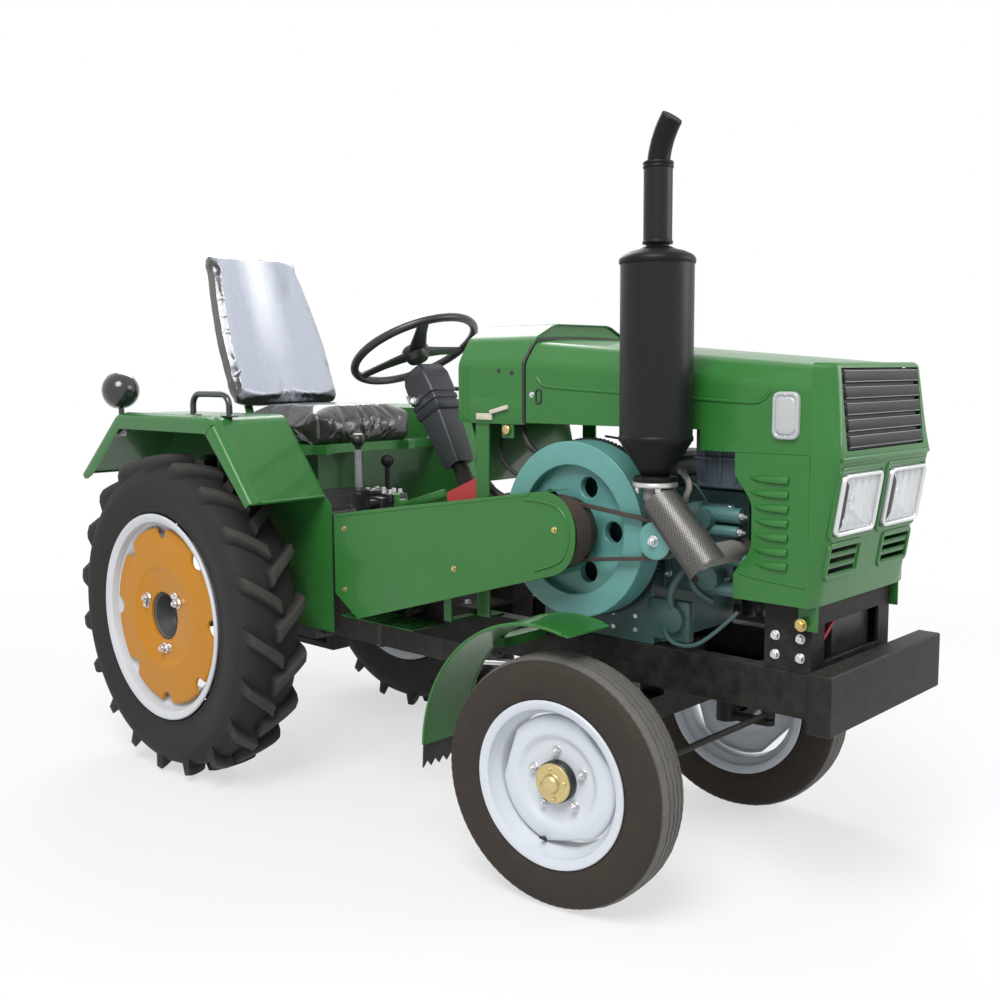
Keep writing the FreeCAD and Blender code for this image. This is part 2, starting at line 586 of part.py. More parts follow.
piece("transaxle", cut(fuse(gearbox, slim, lift, *ears, trumpets, *pads, carrier, bosses, link_bosses,
                            link_pins, *top_ears), *holes))
piece("pto_shaft", fuse(
    rod("X", f"{rear_axle} - gearbox_rear - output_out", 0, "shaft_up", "output_shaft", "output_out"),
    rod("X", f"{rear_axle} - gearbox_rear - collar_out", 0, "shaft_up", "output_journal",
        "collar_out + output_depth")))

# --- three-point linkage: lift arms on the rockshaft, lift rods and lower links -----------------------

size(arm_length=280, arm_eye=24, arm_hub=34, lift_rod=11, lift_pin=10, link_deep=44, ball_hole=11.1,
     eye_half=13, lift_arm_deep=35)
arm_end = f"({link_at} - arm_length)"


def flat_bar(x_from, x_to, low, up, deep):
    return block((x_to, x_from), low, (f"{up} - {deep} / 2", f"{up} + {deep} / 2"))


def both(make):
    """The same piece on the right and on the left."""
    return [make(("-link_low - link_thick", "-link_low")), make(("link_low", "link_low + link_thick"))]


arms = both(lambda span: fuse(flat_bar(link_at, arm_end, span, "rockshaft_up", "lift_arm_deep"),
                              rod("Y", link_at, span[0], "rockshaft_up", "arm_hub", "link_thick"),
                              rod("Y", arm_end, span[0], "rockshaft_up", "arm_eye", "link_thick")))
cross_shaft = rod("Y", link_at, "-link_low", "rockshaft_up", "rockshaft", "2 * link_low")
arm_bore = rod("Y", arm_end, "-link_low - link_thick", "rockshaft_up", "lift_pin + turning_gap",
               "2 * (link_low + link_thick)")
piece("lift_arms", cut(fuse(*arms, cross_shaft), arm_bore))

rod_across = "(link_low + link_thick + side_gap + eye_half)"


def lift_rod_at(sign):
    across = f"{sign} * {rod_across}"
    pin_start = f"-1 * {rod_across}" if sign == "-1" else "link_low - pin_past"
    length = f"{rod_across} - link_low + pin_past"
    upright = rod("Z", arm_end, across, "link_up", "lift_rod", "rockshaft_up - link_up")
    pins = [rod("Y", arm_end, pin_start, up, "lift_pin", length) for up in ("link_up", "rockshaft_up")]
    eyes = [rod("Y", arm_end, f"{across} - eye_half", up, "arm_eye", "2 * eye_half")
            for up in ("link_up", "rockshaft_up")]
    return fuse(upright, *pins, *eyes)


piece("lift_rods", group(lift_rod_at("-1"), lift_rod_at("1")))
ball_end = f"({link_at} - link_length)"


def lower_link(span):
    bar = flat_bar(link_at, ball_end, span, "link_up", "link_deep")
    eyes = [rod("Y", at, span[0], "link_up", "link_eye_radius", "link_thick") for at in (link_at, ball_end)]
    bores = [rod("Y", link_at, span[0], "link_up", "link_pin + turning_gap", "link_thick"),
             rod("Y", arm_end, span[0], "link_up", "lift_pin + turning_gap", "link_thick"),
             rod("Y", ball_end, span[0], "link_up", "ball_hole", "link_thick")]
    return cut(fuse(bar, *eyes), *bores)


piece("lower_links", group(*both(lower_link)))

size(drawbar_half=36, drawbar_thick=22, drawbar_up=330, drawbar_rear=340, drawbar_front=150, drawbar_hole=13,
     drawbar_pin_behind=305, hanger_long=38)
hangers = [block((ahead(start), ahead(f"{start} + hanger_long")), ("-drawbar_half", "drawbar_half"),
                 ("drawbar_up + drawbar_thick", "gearbox_low"))
           for start in ("drawbar_front - hanger_long", "-1 * gearbox_rear")]
bar = block((ahead("-1 * drawbar_rear"), ahead("drawbar_front")), ("-drawbar_half", "drawbar_half"),
            ("drawbar_up", "drawbar_up + drawbar_thick"))
pin_hole = rod("Z", ahead("-1 * drawbar_pin_behind"), 0, "drawbar_up", "drawbar_hole", "drawbar_thick")
piece("drawbar", cut(fuse(bar, *hangers), pin_hole))

# --- engine: crankcase across the rails, cylinder head lying in front of it and the generator's body --

size(case_rear=1280, case_front=1640, case_right=200, case_left=180, case_high=1080, head_front=1880,
     head_half=150, head_low=760, head_high=1020, crank_ahead=1455, crank_up=908, crank_shaft=25,
     crank_boss=60, crank_depth=60, generator_clear=7, generator_up=910, generator_case=48,
     generator_out=298, generator_shaft=9, generator_depth=50)
crank_at = ahead("crank_ahead")
generator_ahead = "(crank_ahead + fly_radius + generator_case + generator_clear)"
generator_at = ahead(generator_ahead)
case = block((ahead("case_rear"), ahead("case_front")), ("-case_right", "case_left"),
             ("rail_top", "case_high"))
head = block((ahead("case_front"), ahead("head_front")), ("-head_half", "head_half"),
             ("head_low", "head_high"))
generator = rod("Y", generator_at, "-generator_out", "generator_up", "generator_case",
                "generator_out - head_half + past")
crank_bore = rod("Y", crank_at, "-case_right", "crank_up", "crank_shaft + turning_gap",
                 "crank_depth + side_gap")
generator_bore = rod("Y", generator_at, "-generator_out", "generator_up", "generator_shaft + turning_gap",
                     "generator_depth + side_gap")
piece("engine", cut(fuse(case, head, generator), crank_bore, generator_bore))

# --- what turns with the belts: flywheel and its drum, generator pulley, clutch pulley ----------------

size(fly_in=215, fly_out=300, fly_rim=165, web_in=250, web_out=272, web_holes=5,
     web_hole=27, web_hole_at=113, drum=84, drum_end=388, small_drum=70, small_drum_end=328,
     belt=9, belt_gap=0.4, belt_side=4, generator_drum=38, pulley_start=304, clutch_drum=112, clutch_rim=12,
     clutch_hub=40, clutch_web=20)
flywheel = new_body()
turned(flywheel, "XY", [
    ("0", "crank_depth - case_right"), ("crank_shaft", "crank_depth - case_right"),
    ("crank_shaft", "-case_right - side_gap"), ("crank_boss", "-case_right - side_gap"),
    ("crank_boss", "-1 * web_in"), ("fly_rim", "-1 * web_in"), ("fly_rim", "-1 * fly_in"),
    ("fly_radius", "-1 * fly_in"), ("fly_radius", "-1 * fly_out"), ("fly_rim", "-1 * fly_out"),
    ("fly_rim", "-1 * web_out"), ("crank_boss", "-1 * web_out"), ("crank_boss", "-1 * pulley_start"),
    ("small_drum", "-1 * pulley_start"), ("small_drum", "-1 * small_drum_end"),
    ("drum", "-1 * small_drum_end"), ("drum", "-1 * drum_end"), ("0", "-1 * drum_end")])
for i in repeats("web_holes"):
    angle = f"{i} * 360 / web_holes"
    pocket(flywheel, "XZ", "-1 * web_out - lap", "lap - web_in",
           (f"web_hole_at * cos({angle})", f"web_hole_at * sin({angle})", "web_hole"))
piece("flywheel", place(flywheel, crank_at, 0, "crank_up"))
generator_pulley = new_body()
turned(generator_pulley, "XY", [
    ("0", "generator_depth - generator_out"), ("generator_shaft", "generator_depth - generator_out"),
    ("generator_shaft", "-1 * pulley_start"), ("generator_drum", "-1 * pulley_start"),
    ("generator_drum", "-1 * small_drum_end"), ("0", "-1 * small_drum_end")])
piece("generator_pulley", place(generator_pulley, generator_at, 0, "generator_up"))
clutch_pulley = new_body()
turned(clutch_pulley, "XY", [
    ("0", "clutch_shaft_in - carrier_end"), ("clutch_shaft", "clutch_shaft_in - carrier_end"),
    ("clutch_shaft", "-1 * carrier_end - side_gap"), ("clutch_hub", "-1 * carrier_end - side_gap"),
    ("clutch_hub", "-1 * drum_end + clutch_web"), ("clutch_drum - clutch_rim", "-1 * drum_end + clutch_web"),
    ("clutch_drum - clutch_rim", "-1 * small_drum_end"),
    ("clutch_drum", "-1 * small_drum_end"), ("clutch_drum", "-1 * drum_end"), ("0", "-1 * drum_end")])
piece("clutch_pulley", place(clutch_pulley, ahead("clutch_ahead"), 0, "clutch_up"))


def belt_loop(first, second, low, high):
    """A flat belt round two drums, each (x from the rear axle, z, radius), between two values of y."""
    (x1, z1, r1), (x2, z2, r2) = first, second
    across, up = f"({x2} - {x1})", f"({z2} - {z1})"
    slope = f"atan2({up}; {across})"
    swing = f"acos(({r1} - {r2}) / sqrt({across} * {across} + {up} * {up}))"

    def filled(extra):
        body = new_body()
        corners = []
        for (x, z, r), signs in ((first, (1, -1)), (second, (-1, 1))):
            for sign in signs:
                angle = f"({slope} + {sign} * {swing})"
                corners.append((f"{ahead(x)} + ({r} + {extra}) * cos({angle})",
                                f"{z} + ({r} + {extra}) * sin({angle})"))
        pad(body, "XZ", low, high, corners)
        return fuse(body, *[rod("Y", ahead(x), low, z, f"{r} + {extra}", f"{high} - ({low})")
                            for x, z, r in (first, second)])
    return cut(filled("belt"), filled("belt_gap"))


main_belt = belt_loop(("clutch_ahead", "clutch_up", "clutch_drum"), ("crank_ahead", "crank_up", "drum"),
                      "-1 * drum_end + belt_side", "-1 * small_drum_end - belt_side")
generator_belt = belt_loop(("crank_ahead", "crank_up", "small_drum"),
                           (generator_ahead, "generator_up", "generator_drum"),
                           "-1 * small_drum_end + belt_side", "-1 * pulley_start - belt_side")
piece("drive_belts", group(main_belt, generator_belt))

size(cover_rear=626, cover_front=1550, cover_top=890, cover_side=652, cover_toe=727, cover_low=588,
     cover_low_front=826, cover_top_front=1029, cover_outer=400, cover_inner=305, cover_plate=3,
     cover_end=97, arm_start=700, arm_end_at=740, arm_up=600, foot_start=1000, foot_end=1030, foot_up=608,
     foot_plate=7, foot_deep=6, foot_top=680)
cover = new_body()
pad(cover, "XZ", "-cover_outer", "-cover_inner",
    [(ahead("cover_rear"), "cover_side"), (ahead("cover_toe"), "cover_low"),
     (ahead("cover_front"), "cover_low_front", "cover_end"),
     (ahead("cover_front"), "cover_top_front", "cover_end"), (ahead("cover_rear"), "cover_top")])
open_end = ahead("cover_front + past")
pocket(cover, "XZ", "cover_plate - cover_outer", "lap - cover_inner",
       [(ahead("cover_rear + cover_plate"), "cover_side + lap"),
        (ahead("cover_toe"), "cover_low + cover_plate"),
        (ahead("cover_front"), "cover_low_front + cover_plate"), (open_end, "cover_low_front + cover_plate"),
        (open_end, "cover_top_front - cover_plate"), (ahead("cover_front"), "cover_top_front - cover_plate"),
        (ahead("cover_rear + cover_plate"), "cover_top - cover_plate")])
cover_arm = block((ahead("arm_start"), ahead("arm_end_at")), ("-cover_outer", "-rail_outer"),
                  ("arm_up", "arm_up + foot_deep"))
foot_run = (ahead("foot_start"), ahead("foot_end"))
cover_foot = fuse(block(foot_run, ("-cover_inner - foot_plate", "-cover_inner"), ("foot_up", "foot_top")),
                  block(foot_run, ("-cover_inner - foot_plate", "-rail_outer"),
                        ("foot_up", "foot_up + foot_deep")))
piece("belt_cover", fuse(cover, cover_arm, cover_foot))

# --- intake and exhaust: air cleaner, exhaust pipe and upright muffler --------------------------------

size(cleaner_rear=1760, cleaner_front=1900, cleaner_right=200, cleaner_left=80, cleaner_foot=10,
     cleaner_high=1180, muffler_ahead=1738, muffler_radius=83, muffler_low=1143,
     muffler_high=1566, muffler_dome=16, muffler_neck=32, muffler_flange=52, flange_up=1052, flange_thick=12,
     tail_pipe=26, tail_pipe_up=1762, tip_bend=190, tip_turn=36, port_ahead=1866, port_up=885, pipe=26,
     elbow_up=1020, bend_over=3)
cleaner = block((ahead("cleaner_rear"), ahead("cleaner_front")), ("-cleaner_right", "-cleaner_left"),
                ("head_high + cleaner_foot", "cleaner_high"))
foot = block((ahead("cleaner_rear + cleaner_foot"), ahead("head_front - cleaner_foot")),
             ("cleaner_foot - head_half", "-cleaner_left - cleaner_foot"),
             ("head_high", "head_high + cleaner_foot"))
piece("air_cleaner", fuse(cleaner, foot))
# The exhaust pipe comes straight out of the cylinder head's side, slants back and up beside the generator's
# pulley, and ends upright under the muffler's flange.
muffler_at = ahead("muffler_ahead")
port_at = ahead("port_ahead")
muffler_across = "(bonnet_half + side_gap + muffler_radius)"
aside = f"-1 * {muffler_across}"
run = "(port_ahead - muffler_ahead)"
rise = "(elbow_up - port_up)"
slanted = strut(port_at, aside, "port_up", "pipe", f"sqrt({run} * {run} + {rise} * {rise})",
                f"atan({run} / {rise})", (0, -1, 0))
piece("exhaust_pipe", fuse(
    rod("Y", port_at, aside, "port_up", "pipe", f"{muffler_across} - head_half"),
    ball(port_at, aside, "port_up", "pipe + bend_over"), slanted,
    ball(muffler_at, aside, "elbow_up", "pipe + bend_over"),
    rod("Z", muffler_at, aside, "elbow_up", "pipe", "flange_up - elbow_up"),
    rod("Z", muffler_at, aside, "flange_up - flange_thick", "muffler_flange", "flange_thick")))
tip = doc.addObject("Part::Torus", "tip")
bind(tip, Radius1="tip_bend", Radius2="tail_pipe", Angle3="tip_turn")
half_round = FreeCAD.Rotation(FreeCAD.Vector(0, 0, 1), 180)
stood_up = FreeCAD.Rotation(FreeCAD.Vector(1, 0, 0), 90)
tip.Placement = FreeCAD.Placement(FreeCAD.Vector(), half_round * stood_up)
place(tip, f"{muffler_at} + tip_bend", aside, "tail_pipe_up")
piece("muffler", fuse(
    rod("Z", muffler_at, aside, "flange_up", "muffler_flange", "flange_thick"),
    cone(muffler_at, aside, "flange_up + flange_thick", "muffler_neck", "muffler_radius",
         "muffler_low - flange_up - flange_thick"),
    rod("Z", muffler_at, aside, "muffler_low", "muffler_radius", "muffler_high - muffler_low"),
    cone(muffler_at, aside, "muffler_high", "muffler_radius", "muffler_neck", "muffler_dome"),
    rod("Z", muffler_at, aside, "muffler_high", "tail_pipe", "tail_pipe_up - muffler_high"), tip))

# --- radiator and battery on the front support and the rails ------------------------------------------

size(radiator_rear=430, radiator_front=490, radiator_half=190, radiator_high=1180, battery_rear=445,
     battery_front=525, battery_right=60, battery_left=130, battery_high=750, tray_clear=18, tray_thick=6)
piece("radiator", block((f"{front_axle} + radiator_rear", f"{front_axle} + radiator_front"),
                        ("-radiator_half", "radiator_half"), ("support_high", "radiator_high")))
battery_run = (f"{front_axle} + battery_rear", f"{front_axle} + battery_front")
tray_half = "(support_half - support_plate - tray_clear)"
piece("battery", fuse(block(battery_run, ("-battery_right", "battery_left"), ("rail_top", "battery_high")),
                      block(battery_run, (f"-1 * {tray_half}", tray_half),
                            ("rail_top", "rail_top + tray_thick"))))

# --- hood: bonnet, front mask with grille and headlights, and louvred side panels, all tilting together 

size(panel=4, bonnet_rear=1253, bonnet_ahead=555, front_half=243, bonnet_low=1122,
     fly_room=38, step_behind=285, crown_rear_up=1395, rear_edge=1387, rear_side=1330,
     rear_edge_half=200, crown_half=100, front_crown_up=1326, front_edge=1319, front_side=1272,
     front_edge_half=206)


seam = f"({front_axle} + bonnet_ahead)"
step = f"({seam} - step_behind)"
bonnet_low_rear = "(crank_up + fly_radius + fly_room)"


def bonnet_section(crown, edge, side, half, edge_half, inset):
    """The bonnet's cross-section, a number of panel thicknesses inside its outer faces."""
    right = [(f"-1 * {half} + {inset}", f"bonnet_low - {inset}"),
             (f"-1 * {half} + {inset}", f"{side} - {inset} / 2"),
             (f"-1 * {edge_half} + {inset} / 2", f"{edge} - {inset}"), ("-crown_half", f"{crown} - {inset}")]
    return right + [(f"-1 * ({y})", z) for y, z in reversed(right)]


def lofted(body, kind, plane, sections):
    """Adds or takes out a straight-sided loft through pairs of a place along the plane's axis and an
    outline there."""
    sketches = [sketch_at(body, plane, at, [loop]) for at, loop in sections]
    feature = body.newObject("PartDesign::" + kind, "loft")
    feature.Profile = sketches[0]
    feature.Sections = sketches[1:]
    feature.Ruled = True
    doc.recompute()
    return body


bonnet = new_body()
for kind, inset in (("AdditiveLoft", "0"), ("SubtractiveLoft", "panel")):
    lofted(bonnet, kind, "YZ", [
        (ahead("bonnet_rear"), bonnet_section("crown_rear_up", "rear_edge", "rear_side", "bonnet_half",
                                              "rear_edge_half", inset)),
        (seam, bonnet_section("front_crown_up", "front_edge", "front_side", "front_half",
                                               "front_edge_half", inset))])
pocket(bonnet, "XZ", "-bonnet_half - past", "bonnet_half + past",
       [(ahead("bonnet_rear - past"), "bonnet_low - past"), (step, "bonnet_low - past"),
        (step, bonnet_low_rear), (ahead("bonnet_rear - past"), bonnet_low_rear)])
piece("bonnet", bonnet)

size(mask_low=780, shelf_up=1120, mask_high=1326, mask_front_low=10, mask_front_shelf=65,
     mask_front_high=42, mask_half_low=205, mask_half_shelf=234, mask_half_high=213,
     grille_half=197, grille_low=1132, grille_high=1314, light_in=24, light_out=210, light_low=945,
     light_high=1080, slot_in=70, slot_out=198, slot_low=855, slot_deep=12, slot_pitch=24,
     slots=3, ear_back=41, ear_low=722, ear_top=830, ear_round=10, fold_back=0.04, fold_front=0.96)
# Each side of the mask is folded along slanting lines, which run from its rear edge at the bottom and at the
# top to its front edge at the shelf.
mask_levels = (("mask_low", "mask_front_low", "mask_half_low", "fold_back", "panel"),
               ("shelf_up", "mask_front_shelf", "mask_half_shelf", "fold_front", "0"),
               ("mask_high", "mask_front_high", "mask_half_high", "fold_back", "-panel"))


def mask_outline(front, half, fold, inset, back):
    """The mask's outline at one level, with its rear edge moved back and its faces moved in."""
    rear = (f"{seam} - {back}", f"-1 * front_half + {inset}")
    corner = (f"{seam} + {front} - {inset}", f"-1 * {half} + {inset}")
    middle = tuple(f"({at}) + {fold} * (({end}) - ({at}))" for at, end in zip(rear, corner))
    right = [rear, middle, corner]
    return right + [(x, f"-1 * ({y})") for x, y in reversed(right)]


def rectangle(left, right, low, high):
    return [(left, low), (right, low), (right, high), (left, high)]


mask = new_body()
lofted(mask, "AdditiveLoft", "XY", [(up, mask_outline(front, half, fold, "0", "0"))
                                    for up, front, half, fold, shift in mask_levels])
lofted(mask, "SubtractiveLoft", "XY", [(f"{up} + {shift}", mask_outline(front, half, fold, "panel", "past"))
                                       for up, front, half, fold, shift in mask_levels])
through = (f"{seam} + lap", f"{seam} + mask_front_shelf + past")
pocket(mask, "YZ", *through, rectangle("-grille_half", "grille_half", "grille_low", "grille_high"))
for _, sign, _ in SIDES:
    pocket(mask, "YZ", *through,
           rectangle(*outward(sign, "light_in", "light_out"), "light_low", "light_high"),
           *[rectangle(*outward(sign, "slot_in", "slot_out"), f"slot_low + {i} * slot_pitch",
                       f"slot_low + {i} * slot_pitch + slot_deep") for i in repeats("slots")])
hinge_ears = []
for _, sign, _ in SIDES:
    ear = new_body()
    pad(ear, "XZ", *outward(sign, "support_half + side_gap", "support_half + side_gap + hinge_ear"),
        [(f"{seam} - ear_back", "ear_low", "ear_round"), (f"{seam} + mask_front_low", "ear_low", "ear_round"),
         (f"{seam} + mask_front_low - lap", "ear_top"), (f"{seam} - ear_back", "ear_top", "ear_round")])
    hinge_ears.append(ear)
hinge_bore = rod("Y", hinge_at, "-support_half - side_gap - hinge_ear", "hinge_up", "hinge_pin + turning_gap",
                 "2 * (support_half + side_gap + hinge_ear)")
piece("front_mask", cut(fuse(mask, *hinge_ears), hinge_bore))


def upper_front_at(up):
    """Where the mask's front face is at a height above the shelf."""
    return (f"({seam} + mask_front_shelf - (mask_front_shelf - mask_front_high) * ({up} - shelf_up)"
            " / (mask_high - shelf_up))")


size(grille_back=5, slats=9, slat_thick=7, slat_deep=14, slat_pitch=20, slat_first=1142, slat_proud=3,
     fit_gap=0.2, light_back=15, light_proud=2, grille_gap=0.7)
backing = new_body()
low_edge, high_edge = "grille_low - panel", "grille_high + panel"
low_face = f"{upper_front_at(low_edge)} - panel - grille_gap"
high_face = f"{upper_front_at(high_edge)} - panel - grille_gap"
pad(backing, "XZ", "-grille_half - panel", "grille_half + panel",
    [(f"{low_face} - grille_back", low_edge), (low_face, low_edge), (high_face, high_edge),
     (f"{high_face} - grille_back", high_edge)])
slats = []
for i in repeats("slats"):
    up = f"(slat_first + {i} * slat_pitch)"
    face = upper_front_at(up)
    slats.append(block((f"{face} - panel - slat_deep / 2", f"{face} + slat_proud"),
                       ("fit_gap - grille_half", "grille_half - fit_gap"), (up, f"{up} + slat_thick")))
piece("grille", fuse(backing, *slats))


def lower_front_at(up):
    """Where the mask's front face is at a height below the shelf."""
    return (f"({seam} + mask_front_low + (mask_front_shelf - mask_front_low) * ({up} - mask_low)"
            " / (shelf_up - mask_low))")


lamps = []
for _, sign, _ in SIDES:
    lamp = new_body()
    pad(lamp, "XZ", *outward(sign, "light_in + fit_gap", "light_out - fit_gap"),
        [(f"{seam} + light_back", "light_low + fit_gap"),
         (f"{lower_front_at('light_low')} + light_proud", "light_low + fit_gap"),
         (f"{lower_front_at('light_high')} + light_proud", "light_high - fit_gap"),
         (f"{seam} + light_back", "light_high - fit_gap")])
    lamps.append(lamp)
piece("headlights", group(*lamps))

size(side_rear=189, side_notch=143, notch_low=840, notch_mid_low=900, notch_mid_high=1010, notch_high=1070,
     side_low=782, notch_round=60, side_inner=239)
panels = []
for _, sign, _ in SIDES:
    side_panel = new_body()
    pad(side_panel, "XZ", *outward(sign, "side_inner", "bonnet_half"),
        [(f"{seam} - side_rear", "side_low"), (seam, "side_low"),
         (seam, "bonnet_low"), (f"{seam} - side_rear", "bonnet_low"),
         (f"{seam} - side_rear", "notch_high"), (f"{seam} - side_notch", "notch_mid_high", "notch_round"),
         (f"{seam} - side_notch", "notch_mid_low", "notch_round"), (f"{seam} - side_rear", "notch_low")])
    panels.append(side_panel)
piece("side_panels", group(*panels))

# --- cowl behind the bonnet, on two legs that stand on the rails --------------------------------------

size(cowl_rear=1000, cowl_front=1250, cowl_low=1223, cowl_side=1330, cowl_edge=1400, cowl_crown=1436,
     cowl_crown_half=120, leg_rear=1060, leg_front=1110, leg_plate=6, leg_foot=180, leg_drop=20)


def cowl_section(inset):
    """The cowl's cross-section, with its faces moved in."""
    right = [(f"-1 * bonnet_half + {inset}", f"cowl_low - {inset}"),
             (f"-1 * bonnet_half + {inset}", f"cowl_side - {inset} / 2"),
             (f"-1 * rear_edge_half + {inset} / 2", f"cowl_edge - {inset}"),
             ("-cowl_crown_half", f"cowl_crown - {inset}")]
    return right + [(f"-1 * ({y})", z) for y, z in reversed(right)]


cowl = new_body()
pad(cowl, "YZ", ahead("cowl_rear"), ahead("cowl_front"), cowl_section("0"))
pocket(cowl, "YZ", ahead("cowl_rear + panel"), ahead("cowl_front + lap"), cowl_section("panel"))
leg_run = (ahead("leg_rear"), ahead("leg_front"))
legs = []
for _, sign, _ in SIDES:
    # An upright strip on a turned-in foot, and a thicker stretch of it that meets the cowl's wall.
    legs.append(block(leg_run, outward(sign, "bonnet_half - 2 * leg_plate", "bonnet_half - leg_plate"),
                      ("rail_top", "cowl_side - leg_drop")))
    legs.append(block(leg_run, outward(sign, "leg_foot", "bonnet_half - leg_plate"),
                      ("rail_top", "rail_top + leg_plate")))
    legs.append(block(leg_run, outward(sign, "bonnet_half - leg_plate - lap", "bonnet_half - panel / 2"),
                      ("cowl_low + leg_drop", "cowl_side - leg_drop")))
piece("cowl", fuse(cowl, *legs))

# --- levers and pedals --------------------------------------------------------------------------------

size(gear_lever_ahead=385, gear_lever_across=100, lever_radius=9, knob=22, gear_knob_up=1085,
     lift_lever_ahead=300, lift_lever_up=1000, pedal_pivot_ahead=800, pedal_pivot_up=590, pedal_arm=8,
     pedal_shaft=12, pedal_boss=13, pedal_out=262, pedal_lean=30, pedal_length=140, pedal_wide=54,
     pedal_deep=10, pedal_high=60)
gear_lever = fuse(rod("Z", ahead("gear_lever_ahead"), "-gear_lever_across", "gearbox_slim_high",
                      "lever_radius", "gear_knob_up - gearbox_slim_high"),
                  ball(ahead("gear_lever_ahead"), "-gear_lever_across", "gear_knob_up", "knob"))
lift_lever = fuse(rod("Z", ahead("lift_lever_ahead"), "gear_lever_across", "gearbox_slim_high",
                      "lever_radius", "lift_lever_up - gearbox_slim_high"),
                  ball(ahead("lift_lever_ahead"), "gear_lever_across", "lift_lever_up", "knob"))
pedals = []
pivot_at = ahead("pedal_pivot_ahead")
toe_at = f"({pivot_at} + pedal_length * sin(pedal_lean))"
toe_up = "(pedal_pivot_up + pedal_length * cos(pedal_lean))"
for _, sign, _ in SIDES:
    across = f"{sign} * pedal_out"
    start, _ = outward(sign, "rail_outer", "pedal_out")
    pedals.append(fuse(
        rod("Y", pivot_at, start, "pedal_pivot_up", "pedal_shaft", "pedal_out - rail_outer"),
        ball(pivot_at, across, "pedal_pivot_up", "pedal_boss"),
        strut(pivot_at, across, "pedal_pivot_up", "pedal_arm", "pedal_length", "pedal_lean", (0, 1, 0)),
        block((f"{toe_at} - pedal_deep / 2", f"{toe_at} + pedal_deep / 2"),
              (f"{across} - pedal_wide / 2", f"{across} + pedal_wide / 2"),
              (f"{toe_up} - pedal_high / 2", f"{toe_up} + pedal_high / 2"))))
piece("controls", group(gear_lever, lift_lever, *pedals))

# --- foot platforms, fenders, grab handles and rear lamp ----------------------------------------------

size(platform_rear=560, platform_front=880, platform_up=560, platform_thick=4, platform_out=325,
     fender_outer=610, fender_top=1175, fender_tail=500, fender_tail_up=965, fender_tail_mid=250,
     fender_nose_mid=300, fender_nose=500, fender_nose_up=930, fender_lip=50, fender_sheet=4,
     fender_round=60, arch_rear=330, arch_rear_up=760, arch_half=120, arch_up=640, arch_front=345,
     arch_low=505, arch_toe=530, toe_top=900)
platforms = [block((ahead("platform_rear"), ahead("platform_front")),
                   outward(sign, "rail_outer", "platform_out"),
                   ("platform_up", "platform_up + platform_thick")) for _, sign, _ in SIDES]
piece("foot_platform", group(*platforms))


def fender_top_line(drop):
    """The fender's top from its tail to its nose, moved down."""
    return [(ahead("-1 * fender_tail"), f"fender_tail_up - {drop}"),
            (ahead("-1 * fender_tail_mid"), f"fender_top - {drop}", "fender_round"),
            (ahead("fender_nose_mid"), f"fender_top - {drop}", "fender_round"),
            (ahead("fender_nose"), f"fender_nose_up - {drop}")]


for name, sign, _ in SIDES:
    fender = new_body()
    pad(fender, "XZ", *outward(sign, "fender_inner", "fender_outer"),
        fender_top_line("0") + fender_top_line("fender_lip")[::-1])
    pocket(fender, "XZ", *outward(sign, "fender_inner + fender_sheet", "fender_outer - fender_sheet"),
           fender_top_line("fender_sheet")
           + [(ahead("fender_nose"), "fender_nose_up - fender_lip - past"),
              (ahead("-1 * fender_tail"), "fender_tail_up - fender_lip - past")])
    pad(fender, "XZ", *outward(sign, "fender_inner", "fender_inner + fender_sheet"),
        [(ahead("-1 * fender_tail"), "fender_tail_up - fender_lip")] + fender_top_line("0")
        + [(ahead("arch_toe"), "toe_top"), (ahead("arch_toe"), "arch_low"), (ahead("arch_front"), "arch_low"),
           (ahead("arch_half"), "arch_up"), (ahead("-1 * arch_half"), "arch_up"),
           (ahead("-1 * arch_rear"), "arch_rear_up")])
    piece(f"{name}_fender", fender)

size(handle_rear=95, handle_front=295, handle_across=530, handle_rod=10, handle_high=1242, handle_round=30,
     lamp_behind=300, lamp_across=560, lamp_up=1250, lamp_radius=62, lamp_face=18, lamp_stem=10)
handles = []
for _, sign, _ in SIDES:
    handle = new_body()
    across = f"{sign} * handle_across"
    outer_round = "handle_round + 2 * handle_rod"
    pad(handle, "XZ", f"{across} - handle_rod", f"{across} + handle_rod",
        [(ahead("handle_rear - handle_rod"), "fender_top"),
         (ahead("handle_rear - handle_rod"), "handle_high + handle_rod", outer_round),
         (ahead("handle_front + handle_rod"), "handle_high + handle_rod", outer_round),
         (ahead("handle_front + handle_rod"), "fender_top"),
         (ahead("handle_front - handle_rod"), "fender_top"),
         (ahead("handle_front - handle_rod"), "handle_high - handle_rod", "handle_round"),
         (ahead("handle_rear + handle_rod"), "handle_high - handle_rod", "handle_round"),
         (ahead("handle_rear + handle_rod"), "fender_top")])
    handles.append(handle)
piece("grab_handles", group(*handles))
fall = "(fender_top - fender_tail_up) / (fender_tail - fender_tail_mid)"
lamp_foot = f"(fender_tail_up + (fender_tail - lamp_behind + lamp_stem) * {fall})"
lamp_spot = (ahead("-1 * lamp_behind"), "-1 * lamp_across")
lamp_ball = fuse(ball(*lamp_spot, "lamp_up", "lamp_radius"),
                 rod("Z", *lamp_spot, lamp_foot, "lamp_stem", f"lamp_up - {lamp_foot}"))
behind_lamp = block((ahead("-1 * lamp_behind - 2 * lamp_radius"), ahead("-1 * lamp_behind - lamp_face")),
                    ("-lamp_across - lamp_radius - past", "lamp_radius + past - lamp_across"),
                    ("lamp_up - lamp_radius - past", "lamp_up + lamp_radius + past"))
piece("rear_lamp", cut(lamp_ball, behind_lamp))

# --- seat: frame between the fenders, cushion and backrest --------------------------------------------

